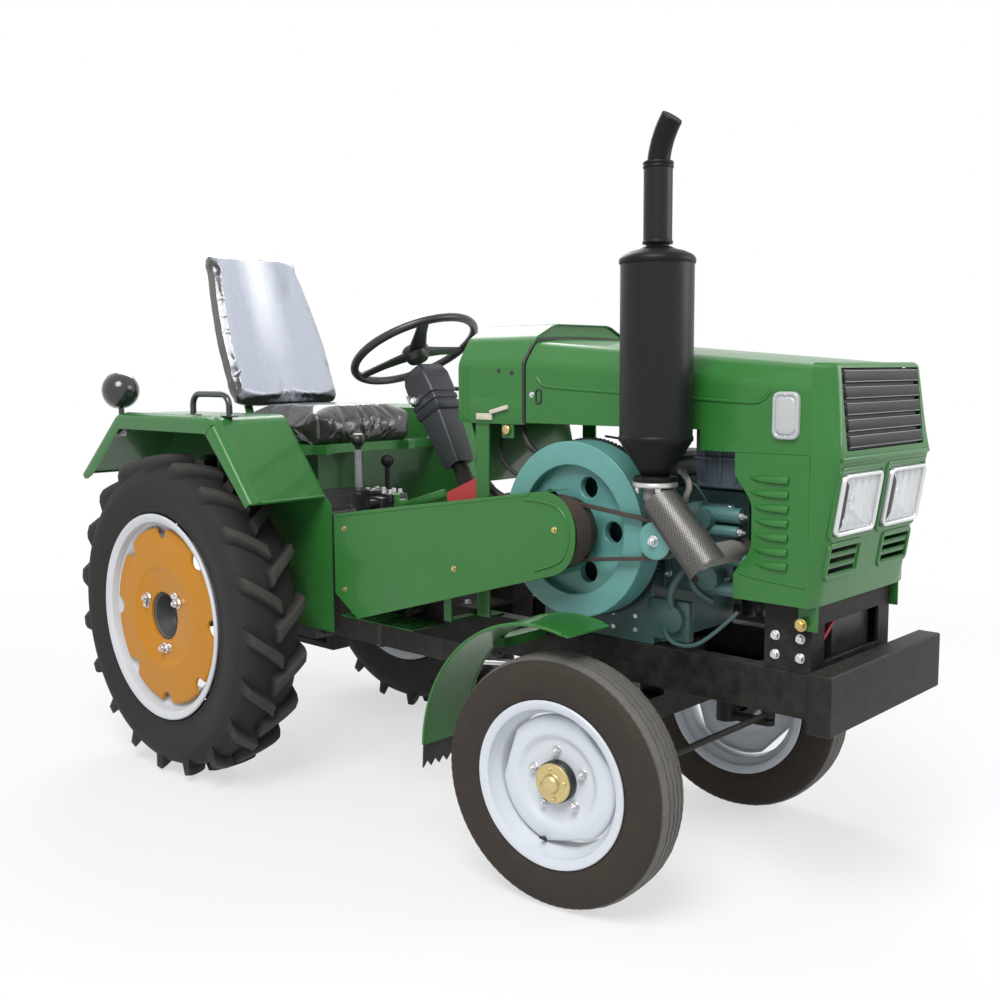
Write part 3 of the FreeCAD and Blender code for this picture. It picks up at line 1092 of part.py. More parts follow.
size(seat_rear=-90, seat_front=340, seat_rail_in=165, seat_rail_out=195, seat_rail_low=1040,
     seat_rail_high=1070,
     cross_bar_rear=-115, cross_bar_front=270, cross_bar=30, pedestal_rear=-40, pedestal_front=170,
     pedestal_half=100, deck_thick=10, cushion_half=228, cushion_high=1195, cushion_round=28,
     back_behind=100, back_up=1222, back_lean=22, back_tall=530, back_thick=66, back_half=205,
     upright_in=130, upright_out=160, upright_plate=8, upright_below=190, upright_above=300)
cross_bars = [block((ahead(at), ahead(f"{at} + cross_bar")), ("-fender_inner", "fender_inner"),
                    ("seat_rail_low", "seat_rail_high")) for at in ("cross_bar_rear", "cross_bar_front")]
rails = [block((ahead("cross_bar_rear"), ahead("seat_front")), span, ("seat_rail_low", "seat_rail_high"))
         for span in (("-seat_rail_out", "-seat_rail_in"), ("seat_rail_in", "seat_rail_out"))]
pedestal = block((ahead("pedestal_rear"), ahead("pedestal_front")), ("-pedestal_half", "pedestal_half"),
                 ("lift_high", "seat_rail_low"))
deck = block((ahead("pedestal_rear"), ahead("pedestal_front")), ("-seat_rail_out", "seat_rail_out"),
             ("seat_rail_low", "seat_rail_low + deck_thick"))
uprights = []
stand_off = "(back_thick + upright_plate)"
for low in ("-upright_out", "upright_in"):
    upright = doc.addObject("Part::Box", "upright")
    bind(upright, Length="upright_plate", Width="upright_out - upright_in",
         Height="upright_below + upright_above")
    uprights.append(place(
        upright,
        f"{ahead('-1 * back_behind')} - {stand_off} * cos(back_lean) + upright_below * sin(back_lean)", low,
        f"back_up - {stand_off} * sin(back_lean) - upright_below * cos(back_lean)", "back_lean", (0, -1, 0)))
piece("seat_frame", fuse(*cross_bars, *rails, pedestal, deck, *uprights))
cushion = new_body()
pad(cushion, "XZ", "-1 * cushion_half", "cushion_half",
    [(ahead("seat_rear"), "seat_rail_high", "cushion_round"),
     (ahead("seat_front"), "seat_rail_high", "cushion_round"),
     (ahead("seat_front"), "cushion_high", "cushion_round"),
     (ahead("seat_rear"), "cushion_high", "cushion_round")])
piece("seat_cushion", cushion)
back = new_body()
pad(back, "XZ", "-1 * back_half", "back_half",
    [("-1 * back_thick", "0", "cushion_round"), ("0", "0", "cushion_round"),
     ("0", "back_tall", "cushion_round"), ("-1 * back_thick", "back_tall", "cushion_round")])
piece("seat_back", place(back, ahead("-1 * back_behind"), 0, "back_up", "back_lean", (0, -1, 0)))

# --- front mudguards behind the steered wheels --------------------------------------------------------

size(guard_radius=392, guard_from=175, guard_to=78, guard_plate=4, guard_in=365, guard_out=525, guard_tail=20,
     guard_arm_rear=280, guard_arm_front=240, guard_arm_low=588, guard_arm_high=614)
middle_angle = "((guard_from + guard_to) / 2)"
half_angle = "((guard_from - guard_to) / 2)"


def guard_arc(radius):
    """A mudguard's arc about the wheel's middle, run on straight at both ends."""
    corner = f"({radius} / cos({half_angle}))"
    return [(f"{front_axle} + {radius} * cos(guard_from) - guard_tail * sin(guard_from)",
             f"front_tyre_radius + {radius} * sin(guard_from) + guard_tail * cos(guard_from)"),
            (f"{front_axle} + {corner} * cos({middle_angle})",
             f"front_tyre_radius + {corner} * sin({middle_angle})", radius),
            (f"{front_axle} + {radius} * cos(guard_to) + guard_tail * sin(guard_to)",
             f"front_tyre_radius + {radius} * sin(guard_to) - guard_tail * cos(guard_to)")]


guards = []
for _, sign, _ in SIDES:
    guard = new_body()
    pad(guard, "XZ", *outward(sign, "guard_in", "guard_out"),
        guard_arc("(guard_radius + guard_plate)") + guard_arc("guard_radius")[::-1])
    guard_arm = block((f"{front_axle} - guard_arm_rear", f"{front_axle} - guard_arm_front"),
                      outward(sign, "rail_outer", "guard_in + past"), ("guard_arm_low", "guard_arm_high"))
    guards.append(fuse(guard, guard_arm))
piece("front_mudguards", group(*guards))

# --- end of the model: check it and write one file for each sub-part ----------------------------------

doc.recompute()
for item in doc.Objects:
    if "Invalid" in item.State or "Error" in item.State:
        raise RuntimeError(f"{item.Name} ({item.Label}) is not up to date: {item.State}")
for item in pieces:
    if item.Shape.isNull() or not item.Shape.isValid():
        raise RuntimeError(f"{item.Label} has no valid shape")
os.makedirs("parts", exist_ok=True)
for item in pieces:
    item.Shape.exportStep(f"parts/{item.Label}.step")
    box = item.Shape.BoundBox
    print(f"{item.Label:20s} {len(item.Shape.Solids):2d} solids  x {box.XMin:8.1f} {box.XMax:8.1f}  "
          f"y {box.YMin:7.1f} {box.YMax:7.1f}  z {box.ZMin:7.1f} {box.ZMax:7.1f}")
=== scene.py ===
import bmesh
import bpy
import json
import math
from mathutils import Matrix, Vector

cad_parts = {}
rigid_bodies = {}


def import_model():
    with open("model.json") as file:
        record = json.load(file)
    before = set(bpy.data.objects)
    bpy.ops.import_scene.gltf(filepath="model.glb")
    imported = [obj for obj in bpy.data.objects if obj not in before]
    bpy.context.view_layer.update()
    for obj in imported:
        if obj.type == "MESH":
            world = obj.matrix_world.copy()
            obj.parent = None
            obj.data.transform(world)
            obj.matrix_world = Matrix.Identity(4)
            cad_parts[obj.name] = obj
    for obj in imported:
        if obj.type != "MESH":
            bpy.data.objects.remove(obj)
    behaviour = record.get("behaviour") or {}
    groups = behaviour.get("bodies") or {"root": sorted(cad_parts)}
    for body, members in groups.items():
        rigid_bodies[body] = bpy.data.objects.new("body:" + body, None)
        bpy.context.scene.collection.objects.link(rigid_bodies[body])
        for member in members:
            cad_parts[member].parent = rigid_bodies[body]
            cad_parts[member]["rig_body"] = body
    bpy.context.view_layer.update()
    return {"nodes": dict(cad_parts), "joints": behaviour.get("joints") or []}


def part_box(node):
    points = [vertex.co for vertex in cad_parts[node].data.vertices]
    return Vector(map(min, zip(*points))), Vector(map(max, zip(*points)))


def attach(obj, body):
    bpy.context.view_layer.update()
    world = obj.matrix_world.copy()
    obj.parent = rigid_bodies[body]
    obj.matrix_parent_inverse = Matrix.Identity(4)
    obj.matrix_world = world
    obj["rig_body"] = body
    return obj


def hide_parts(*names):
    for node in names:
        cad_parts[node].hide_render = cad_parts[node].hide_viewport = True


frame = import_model()

# --- Camera ---------------------------------------------------------------------------------------------
# A short tele lens that stands off the tractor's front right corner at chest height, looking back and a
# little down on it.

heading, dip, lean = math.radians(133.13), math.radians(-6.52), math.radians(-0.34)
ahead = Vector((math.cos(heading) * math.cos(dip), math.sin(heading) * math.cos(dip), math.sin(dip)))
level = ahead.cross(Vector((0, 0, 1))).normalized()
over = level.cross(ahead)
right = level * math.cos(lean) + over * math.sin(lean)
top = over * math.cos(lean) - level * math.sin(lean)
camera = bpy.data.objects.new("camera", bpy.data.cameras.new("camera"))
camera.data.sensor_width = 36
camera.data.lens = 41.54
camera.matrix_world = Matrix.Translation((2.587, -2.542, 1.317)) @ Matrix(
    (right, top, -ahead)).transposed().to_4x4()
bpy.context.scene.collection.objects.link(camera)
bpy.context.scene.camera = camera

# --- Studio ---------------------------------------------------------------------------------------------
# A pale seamless floor under an even sky, with one large soft lamp over the front right and a weak one
# behind. The background shows white to the camera, and polished metal sees it too.

bpy.context.scene.view_settings.view_transform = "Standard"


def link(tree, source, target):
    tree.links.new(source, target)


def node_of(tree, kind, **settings):
    """A shader node with its settings made, where a key of the form in_Name sets that input."""
    made = tree.nodes.new(kind)
    for key, value in settings.items():
        if key.startswith("in_"):
            made.inputs[key[3:].replace("_", " ")].default_value = value
        else:
            setattr(made, key, value)
    return made


def feed(tree, target, value):
    """Links an output to an input, or sets the input where the value is a number or a colour."""
    if isinstance(value, bpy.types.NodeSocket):
        link(tree, value, target)
    else:
        target.default_value = (*value, 1) if isinstance(value, tuple) else value


def maths(tree, operation, *values, clamp=False):
    """A Math node's output."""
    made = node_of(tree, "ShaderNodeMath", operation=operation, use_clamp=clamp)
    for target, value in zip(made.inputs, values):
        feed(tree, target, value)
    return made.outputs[0]


def ranged(tree, value, low, high, to_low=0, to_high=1):
    """A Map Range node's output: low to high becomes to_low to to_high."""
    made = node_of(tree, "ShaderNodeMapRange", in_From_Min=low, in_From_Max=high, in_To_Min=to_low,
                   in_To_Max=to_high)
    link(tree, value, made.inputs["Value"])
    return made.outputs[0]


def object_place(tree):
    """Where a point of the surface is on the tractor."""
    return node_of(tree, "ShaderNodeTexCoord").outputs["Object"]


def length_of(tree, vector):
    made = node_of(tree, "ShaderNodeVectorMath", operation="LENGTH")
    link(tree, vector, made.inputs[0])
    return made.outputs["Value"]


def seen_or_mirrored(tree):
    """1 for the camera's own rays and for those that polished metal or glass sends on, else 0."""
    path = node_of(tree, "ShaderNodeLightPath").outputs
    polished = maths(tree, "MAXIMUM", path["Is Glossy Ray"], path["Is Transmission Ray"])
    return maths(tree, "MAXIMUM", path["Is Camera Ray"], polished)


def blended(tree, share, under, over, output):
    """Mixes two shaders and gives them out."""
    blend = node_of(tree, "ShaderNodeMixShader")
    for target, source in zip(blend.inputs, (share, under.outputs[0], over.outputs[0])):
        link(tree, source, target)
    link(tree, blend.outputs[0], node_of(tree, output).inputs[0])


world = bpy.data.worlds.new("studio_sky")
bpy.context.scene.world = world
world.use_nodes = True
sky = world.node_tree
sky.nodes.clear()
shed = node_of(sky, "ShaderNodeBackground", in_Color=(.92, .96, 1, 1), in_Strength=.5)
seen = node_of(sky, "ShaderNodeBackground", in_Color=(1, 1, 1, 1))
blended(sky, seen_or_mirrored(sky), shed, seen, "ShaderNodeOutputWorld")


def standing(x, y, z, turn=Matrix()):
    """A place in metres, with the turn of what stands there."""
    return Matrix.Translation((x, y, z)) @ turn


def soft_lamp(name, place, aim, size, watts, colour=(1, 1, 1)):
    lamp = bpy.data.objects.new(name, bpy.data.lights.new(name, "AREA"))
    lamp.data.shape = "DISK"
    lamp.data.size = size
    lamp.data.energy = watts
    lamp.data.color = colour
    lamp.matrix_world = Matrix.Translation(place) @ (
        Vector(aim) - Vector(place)).to_track_quat("-Z", "Y").to_matrix().to_4x4()
    bpy.context.scene.collection.objects.link(lamp)


soft_lamp("key_lamp", (2.2, -3.6, 5.2), (0, 0, .7), 3.4, 330, (1, .985, .96))
soft_lamp("fill_lamp", (3.8, 2.4, 2.6), (.3, 0, .8), 2.6, 70)
soft_lamp("back_lamp", (-3.6, 2.2, 4.4), (-.3, 0, .9), 3, 130)

floor_form = bmesh.new()
bmesh.ops.create_circle(floor_form, cap_ends=True, segments=96, radius=14)
floor_mesh = bpy.data.meshes.new("studio_floor")
floor_form.to_mesh(floor_mesh)
floor_form.free()
floor = bpy.data.objects.new("studio_floor", floor_mesh)
bpy.context.scene.collection.objects.link(floor)
pale = bpy.data.materials.new("studio_floor")
pale.use_nodes = True
tree = pale.node_tree
tree.nodes.clear()
matt = node_of(tree, "ShaderNodeBsdfDiffuse", in_Color=(.78, .78, .78, 1))
glow = node_of(tree, "ShaderNodeEmission", in_Color=(1, 1, 1, 1))
fade = ranged(tree, length_of(tree, object_place(tree)), 1.6, 4.2, .62)
blended(tree, maths(tree, "MULTIPLY", seen_or_mirrored(tree), fade), matt, glow, "ShaderNodeOutputMaterial")
floor_mesh.materials.append(pale)

# --- Frame rails ----------------------------------------------------------------------------------------
# Two rolled steel channels with welded cross members and the saddle over the front axle, sprayed black
# after welding. The black is thick and a little uneven, and road dust settles low down on it.


def mixed(tree, share, under, over, **settings):
    """A Mix node's colour."""
    made = node_of(tree, "ShaderNodeMix", data_type="RGBA", **settings)
    for i, value in ((0, share), (6, under), (7, over)):
        feed(tree, made.inputs[i], value)
    return made.outputs[2]


def speckle(tree, where, scale, detail, rough, **settings):
    """The strength of a noise texture."""
    made = node_of(tree, "ShaderNodeTexNoise", in_Detail=detail, in_Roughness=rough, **settings)
    feed(tree, made.inputs["Scale"], scale)
    link(tree, where, made.inputs["Vector"])
    return made.outputs["Fac"]


def split(tree, vector):
    """The X, Y and Z of a vector."""
    made = node_of(tree, "ShaderNodeSeparateXYZ")
    link(tree, vector, made.inputs[0])
    return made.outputs


def embossed(tree, height, depth, strength=1, normal=None):
    """A Bump node's normal."""
    made = node_of(tree, "ShaderNodeBump", in_Strength=strength)
    feed(tree, made.inputs["Distance"], depth)
    link(tree, height, made.inputs["Height"])
    if normal:
        link(tree, normal, made.inputs["Normal"])
    return made.outputs["Normal"]


def shader_group(name, inputs, outputs):
    group = bpy.data.node_groups.new(name, "ShaderNodeTree")
    for side, sockets in (("INPUT", inputs), ("OUTPUT", outputs)):
        for socket, kind in sockets.items():
            group.interface.new_socket(socket, in_out=side, socket_type="NodeSocket" + kind)
    return group, group.nodes.new("NodeGroupInput").outputs, group.nodes.new("NodeGroupOutput").inputs


# How a painted, cast or moulded skin varies: cloudy patches, a fine grain, and dust that lies on what
# faces upwards and is thicker near the ground.
skin, given, made = shader_group(
    "uneven skin",
    {"Colour": "Color", "Roughness": "Float", "Mottle": "Float", "Grain Scale": "Float",
     "Grain Depth": "Float", "Dust": "Float", "Dust Colour": "Color"},
    {"Colour": "Color", "Roughness": "Float", "Normal": "Vector"})
where = object_place(skin)
swing = maths(skin, "MULTIPLY", maths(skin, "SUBTRACT", speckle(skin, where, 7, 5, .62), .5), given["Mottle"])
tone = mixed(skin, 1, given["Colour"], maths(skin, "MULTIPLY_ADD", swing, 3, 1), blend_type="MULTIPLY")
low_down = ranged(skin, split(skin, where)["Z"], 0, 1.2, 1, .12)
facing_up = split(skin, node_of(skin, "ShaderNodeNewGeometry").outputs["Normal"])["Z"]
dust = ranged(skin, speckle(skin, where, 26, 6, .7), .34, .72)
for part in (low_down, ranged(skin, facing_up, -.2, 1, .35), given["Dust"]):
    dust = maths(skin, "MULTIPLY", dust, part, clamp=True)
link(skin, mixed(skin, dust, tone, given["Dust Colour"]), made["Colour"])
rougher = maths(skin, "MULTIPLY_ADD", swing, 1.4, given["Roughness"])
link(skin, maths(skin, "MULTIPLY_ADD", dust, .45, rougher, clamp=True), made["Roughness"])
grain = speckle(skin, where, given["Grain Scale"], 3, .6)
link(skin, embossed(skin, grain, given["Grain Depth"]), made["Normal"])

# Where handling and stones have thinned the finish along outer edges.
edges, given, made = shader_group(
    "edge wear", {"Colour": "Color", "Worn Colour": "Color", "Amount": "Float"}, {"Colour": "Color"})
worn = ranged(edges, node_of(edges, "ShaderNodeNewGeometry").outputs["Pointiness"], .53, .66)
for part in (ranged(edges, speckle(edges, object_place(edges), 55, 6, .75), .42, .62), given["Amount"]):
    worn = maths(edges, "MULTIPLY", worn, part, clamp=True)
link(edges, mixed(edges, worn, given["Colour"], given["Worn Colour"]), made["Colour"])


def finish(name, colour, roughness, mottle=.05, grain=(300, .00003), dust=.12, wear=0, bare=(.3, .29, .28),
           dust_colour=(.30, .26, .21), **constants):
    """A material: the uneven skin and the edge wear, with the constants on the shader's own sockets."""
    material = bpy.data.materials.new(name)
    material.use_nodes = True
    tree = material.node_tree
    shader = tree.nodes["Principled BSDF"]
    for key, value in constants.items():
        shader.inputs[key.replace("_", " ")].default_value = value
    shape = node_of(tree, "ShaderNodeGroup", node_tree=skin, in_Colour=(*colour, 1), in_Roughness=roughness,
                    in_Mottle=mottle, in_Grain_Scale=grain[0], in_Grain_Depth=grain[1], in_Dust=dust,
                    in_Dust_Colour=(*dust_colour, 1))
    worn = node_of(tree, "ShaderNodeGroup", node_tree=edges, in_Worn_Colour=(*bare, 1), in_Amount=wear)
    link(tree, shape.outputs["Colour"], worn.inputs["Colour"])
    link(tree, worn.outputs["Colour"], shader.inputs["Base Color"])
    link(tree, shape.outputs["Roughness"], shader.inputs["Roughness"])
    link(tree, shape.outputs["Normal"], shader.inputs["Normal"])
    return material


def piece(name, form, body, material, smooth=38):
    """Turns a finished bmesh into a piece that rides on a body of the tractor."""
    mesh = bpy.data.meshes.new(name)
    form.to_mesh(mesh)
    form.free()
    mesh.materials.append(material)
    mesh.shade_smooth()
    mesh.set_sharp_from_angle(angle=math.radians(smooth))
    made = bpy.data.objects.new(name, mesh)
    bpy.context.scene.collection.objects.link(made)
    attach(made, body)
    return made


def rounded(form, edges, width, segments=2):
    bmesh.ops.bevel(form, geom=edges, offset=width, offset_type="OFFSET", segments=segments, profile=.5,
                    affect="EDGES", clamp_overlap=True, material=-1)


def softened(node, material, width=.002, sharp=30, crease=None, segments=2, smooth=38):
    """The CAD node's own shape with its edges broken. Creases are long folds that take a wider rounding."""
    form = bmesh.new()
    form.from_mesh(frame["nodes"][node].data)
    bmesh.ops.remove_doubles(form, verts=form.verts, dist=.00001)
    bmesh.ops.dissolve_limit(form, angle_limit=math.radians(1.5), verts=form.verts, edges=form.edges)
    if crease:
        least, most, length, radius = crease
        folds = [e for e in form.edges if e.is_manifold and e.calc_length() > length
                 and math.radians(least) < e.calc_face_angle(0) < math.radians(most)
                 and all(f.calc_area() / e.calc_length() > 2.4 * radius for f in e.link_faces)]
        rounded(form, folds, radius, 4)
    corners = [e for e in form.edges if e.is_manifold and e.calc_face_angle(0) > math.radians(sharp)]
    rounded(form, corners, width, segments)
    made = piece(node + "_finished", form, frame["nodes"][node]["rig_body"], material, smooth)
    weigh = made.modifiers.new("flat faces", "WEIGHTED_NORMAL")
    weigh.keep_sharp = True
    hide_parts(node)
    return made


black_paint = finish("black chassis paint", (.009, .009, .0095), .45, mottle=.12, grain=(210, .00012),
                     dust=.30,
                     wear=.35, bare=(.05, .048, .046), Specular_IOR_Level=.16)
softened("frame", black_paint)

# --- Front tyres ----------------------------------------------------------------------------------------
# Narrow ribbed tyres of black rubber: four zigzag grooves round the tread, a close row of fine ribs on each
# shoulder and a browned, slightly bulging wall. They are pressed on the rims by their beads.

joint = {j["name"]: j for j in frame["joints"]}
right_and_left = (("right", -1), ("left", 1))


def wheel_place(name, side):
    """The wheel's middle, with local +Z pointing out of the tractor on that side."""
    axis = Vector(joint[name]["axis"])
    if axis.y * side < 0:
        axis.negate()
    turn = Vector((0, 0, 1)).rotation_difference(axis).to_matrix().to_4x4()
    return Matrix.Translation(joint[name]["pos_m"]) @ turn


def lathed(outline, steps=96, closed=True):
    """A form turned from an outline of (radius, along) in millimetres about local Z."""
    form = bmesh.new()
    ring = [form.verts.new((radius * .001, 0, along * .001)) for radius, along in outline]
    pairs = list(zip(ring, ring[1:] + ring[:1] if closed else ring[1:]))
    sides = [form.edges.new(pair) for pair in pairs]
    bmesh.ops.spin(form, geom=ring + sides, cent=(0, 0, 0), axis=(0, 0, 1), angle=math.tau, steps=steps,
                   use_merge=True)
    bmesh.ops.remove_doubles(form, verts=form.verts, dist=.00002)
    bmesh.ops.recalc_face_normals(form, faces=form.faces)
    return form


def put(form, place):
    bmesh.ops.transform(form, matrix=place, verts=form.verts)
    return form


def triangle_wave(turns):
    return 4 * abs(turns - math.floor(turns + .5)) - 1


front_groove = [(0, 0), (3.4, 0), (2.2, -6.5), (-2.2, -6.5), (-3.4, 0)]
tread_half = []
for middle in (9.5, 29):
    crown = 314 - (middle / 50) ** 2 * 3
    tread_half += [(crown + deep, middle + across) for across, deep in reversed(front_groove[1:])]
shoulder = [(309.5, 42), (306.5, 49), (301, 55), (293, 60), (284, 63.5), (281, 63.4), (266, 65.8),
            (247, 65.5),
            (230, 62.5), (219, 59.5), (215, 57.2), (212, 57), (208, 54), (204, 47)]
liner = [(212, 40), (230, 50), (262, 55), (290, 47), (301, 30)]
half = tread_half + shoulder
front_outline = half + liner + [(radius, -along) for radius, along in reversed(half + liner)]


def rubber(name, colour, wall, tread_from, tread_to, tread, wheel, browned=.5):
    """Rubber whose tread is greyer with road dust than its walls. The radius is taken about the wheel."""
    material = finish(name, colour, .78, mottle=.16, grain=(260, .00018), dust=0, Specular_IOR_Level=.35)
    tree = material.node_tree
    shader = tree.nodes["Principled BSDF"]
    base = shader.inputs["Base Color"].links[0].from_socket
    place = object_place(tree)
    moved = node_of(tree, "ShaderNodeVectorMath", operation="SUBTRACT")
    link(tree, place, moved.inputs[0])
    moved.inputs[1].default_value = wheel
    cloud = speckle(tree, place, 18, 6, .7)
    worn = maths(tree, "MULTIPLY", ranged(tree, length_of(tree, moved.outputs[0]), tread_from, tread_to),
                 ranged(tree, cloud, .3, .7, .7))
    stained = mixed(tree, maths(tree, "MULTIPLY", cloud, browned), base, wall)
    link(tree, mixed(tree, worn, stained, tread), shader.inputs["Base Color"])
    return material


for name, side in right_and_left:
    place = wheel_place(f"front_{name}_spin", side)
    tyre = lathed(front_outline, 168)
    for v in tyre.verts:
        radius = v.co.xy.length
        turn = math.atan2(v.co.y, v.co.x) / math.tau
        if radius > .3055 and abs(v.co.z) < .04:
            v.co.z += .0021 * triangle_wave(turn * 42)
        elif radius > .2835 and abs(v.co.z) > .048:
            push = .0016 * triangle_wave(turn * 84)
            v.co.x *= 1 + push
            v.co.y *= 1 + push
            v.co.z += math.copysign(push * .9, v.co.z) if abs(v.co.z) < .062 else 0
    made = piece(f"front_{name}_tyre_ribbed", put(tyre, place), f"front_{name}_wheel",
                 rubber(f"front {name} rubber", (.020, .017, .015), (.050, .036, .025), .3086, .3112,
                        (.150, .143, .132), place.translation, .8), 30)
    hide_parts(f"front_{name}_tyre")

# --- Front wheels ---------------------------------------------------------------------------------------
# A rolled rim with a pressed dished disc, both sprayed white, with three crescent slots where they meet.
# Five plated nuts hold each disc on a black hub barrel with a brass-coloured domed cap.

white_paint = finish("white wheel paint", (.60, .635, .69), .34, mottle=.03, grain=(60, .0002), dust=.10,
                     Coat_Weight=.3, Coat_Roughness=.12)
barrel_paint = finish("black hub enamel", (.012, .012, .013), .3, mottle=.1, dust=.1)
plated = finish("yellow zinc plate", (.62, .50, .24), .32, mottle=.12, grain=(120, .00006), dust=.0,
                Metallic=.9)
zinc = finish("bright zinc plate", (.62, .62, .63), .34, mottle=.1, grain=(150, .00005), dust=.0,
              Metallic=.95)
valve_rubber = finish("valve rubber", (.012, .012, .012), .6)


def hexes(form, places, across, tall, washer=0, stud=0):
    """Hexagon heads or nuts with their washers and stud ends, in millimetres on local Z of each place."""
    step = .16 * tall
    tiers = ((28, washer / 2, 0, step), (6, across / 2 / .866, step if washer else 0, tall),
             (20, stud / 2, tall, .7 * tall))
    for at in places:
        for sides, radius, low, deep in tiers:
            if not radius:
                continue
            tip = radius * (.001 if sides != 6 else .00096)
            made = bmesh.ops.create_cone(form, cap_ends=True, segments=sides, radius1=radius * .001,
                                         radius2=tip,
                                         depth=deep * .001,
                                         matrix=at @ standing(0, 0, (low + deep / 2) * .001))
            rim = {e for v in made["verts"] for e in v.link_edges}
            rounded(form, [e for e in rim if e.calc_face_angle(0) > 1.2], .0005, 1)
    return form


def around(count, radius, along=0, start=0):
    """Places in a ring about local Z, in millimetres."""
    return [Matrix.Rotation(start + math.tau * i / count, 4, "Z") @
            standing(radius * .001, 0, along * .001) for i in range(count)]


front_rim = [(207, 62), (209, 60), (209, 57), (206, 56), (192, 55.5), (190, 50), (188, 36), (176, 26),
             (172, 0), (172, -26), (190, -38), (190, -50), (194, -55), (206, -56), (209, -57), (209, -60),
             (207, -62), (198, -62), (187, -56), (185, -50), (185, -40), (168, -28), (168, 12), (170, 25),
             (182, 37), (184, 50), (186, 56), (198, 62)]
front_disc = [(163, 4), (163, 15), (160, 20), (154, 23), (146, 24.5), (128, 25.5), (118, 25), (112, 22.5),
              (105, 16.5), (98, 14), (90, 13.5), (52, 13.5), (48, 13), (48, 9), (92, 9), (101, 11), (110, 17),
              (120, 20.5), (146, 20), (155, 17), (158, 12), (158, 4)]
for name, side in right_and_left:
    place = wheel_place(f"front_{name}_spin", side)
    body = f"front_{name}_wheel"
    rim = piece(f"front_{name}_rim", put(lathed(front_rim, 112), place), body, white_paint)
    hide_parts(f"front_{name}_wheel")
    disc = lathed(front_disc, 180)
    for v in disc.verts:
        radius = v.co.xy.length
        if radius > .135:
            turn = math.atan2(v.co.y, v.co.x) - math.radians(50)
            off = abs((turn / math.tau * 3 + .5) % 1 - .5) * math.tau / 3
            chord = min(.1495 / math.cos(min(off, 1)), .163)
            v.co.xy *= (.135 + (radius - .135) * (chord - .135) / .028) / radius
    piece(f"front_{name}_disc", put(disc, place), body, white_paint)
    barrel = lathed([(52, 10), (52, 34), (50, 37), (46, 38.5), (30, 38.5), (30, -20), (50, -20)], 72)
    piece(f"front_{name}_hub", put(barrel, place), body, barrel_paint)
    cap = lathed([(0, 62), (8, 61.5), (15, 60), (20, 57), (22.5, 53), (23.5, 47.5), (25, 46), (40, 45),
                  (47, 43.5),
                  (49, 42), (49, 38.6), (0, 38.6)], 72, closed=False)
    hexes(cap, around(4, 37, 44.8, .3), 9, 5)
    piece(f"front_{name}_hub_cap", put(cap, place), body, plated)
    nuts = hexes(bmesh.new(), around(5, 74, 13.4, .5), 19, 11, 27, 12)
    piece(f"front_{name}_nuts", put(nuts, place), body, zinc)
    valve = bmesh.new()
    stem = Matrix.Rotation(math.radians(-96), 4, "Z") @ standing(.160, 0, .02) @ Matrix.Rotation(
        math.radians(-28), 4, "Y")
    bmesh.ops.create_cone(valve, cap_ends=True, segments=16, radius1=.0055, radius2=.0035, depth=.034,
                          matrix=stem @ standing(0, 0, .014))
    piece(f"front_{name}_valve", put(valve, place), body, valve_rubber)

# --- Rear tyres -----------------------------------------------------------------------------------------
# Tall tractor tyres: a rounded black carcass with nineteen curved lugs a side, set in turn so that they
# make a chevron, each tapering from a wide foot to a flat worn top.

carcass_half = [(493, 0), (492, 40), (486, 74), (476, 94), (462, 105), (452, 108), (447, 111.5), (436, 113),
                (420, 113), (392, 108), (368, 101), (352, 97), (348, 99), (343, 99), (338, 96), (331, 90)]
rear_liner = [(331, 80), (352, 86), (392, 98), (430, 103), (462, 96), (480, 60), (484, 0)]
rear_half = carcass_half + rear_liner[:-1]
rear_outline = rear_half + [(484, 0)] + [(r, -z) for r, z in reversed(rear_half[1:])]


def lug(side):
    """One lug from the middle of the tread over the shoulder, in millimetres about the wheel's axis."""
    form = bmesh.new()
    bmesh.ops.create_cube(form, size=1)
    long = [e for e in form.edges if abs((e.verts[0].co - e.verts[1].co).x) > .5]
    bmesh.ops.subdivide_edges(form, edges=long, cuts=9, use_grid_fill=True)
    for v in form.verts:
        run, across, up = v.co.x + .5, v.co.y, v.co.z + .5
        reach = min(run * 1.22, 1) * 110 - 12
        drop = max(run - .80, 0) / .2
        foot = 478 - 12 * (max(reach, 0) / 100) ** 2 - 44 * drop
        crown = 525 - 9 * (max(reach, 0) / 100) ** 3 - 50 * drop ** 1.4
        wide = (52 if up < .5 else 30) * (1 + .30 * (1 - run) ** 4) * (1 + .12 * drop)
        radius = foot + (crown - foot) * up
        out = reach + (3.5 if up > .5 else 0) * (1 - drop) + 6.2 * math.sin(min(drop, 1) * math.pi / 2) * up
        turn = across * wide / 500 - (9.6 * run ** .8 + 2.6 * run * run) / 180 * math.pi
        v.co = Vector((radius * math.cos(turn), radius * math.sin(turn), side * min(out, 114.5))) * .001
    if side < 0:
        bmesh.ops.reverse_faces(form, faces=form.faces[:])
    return form


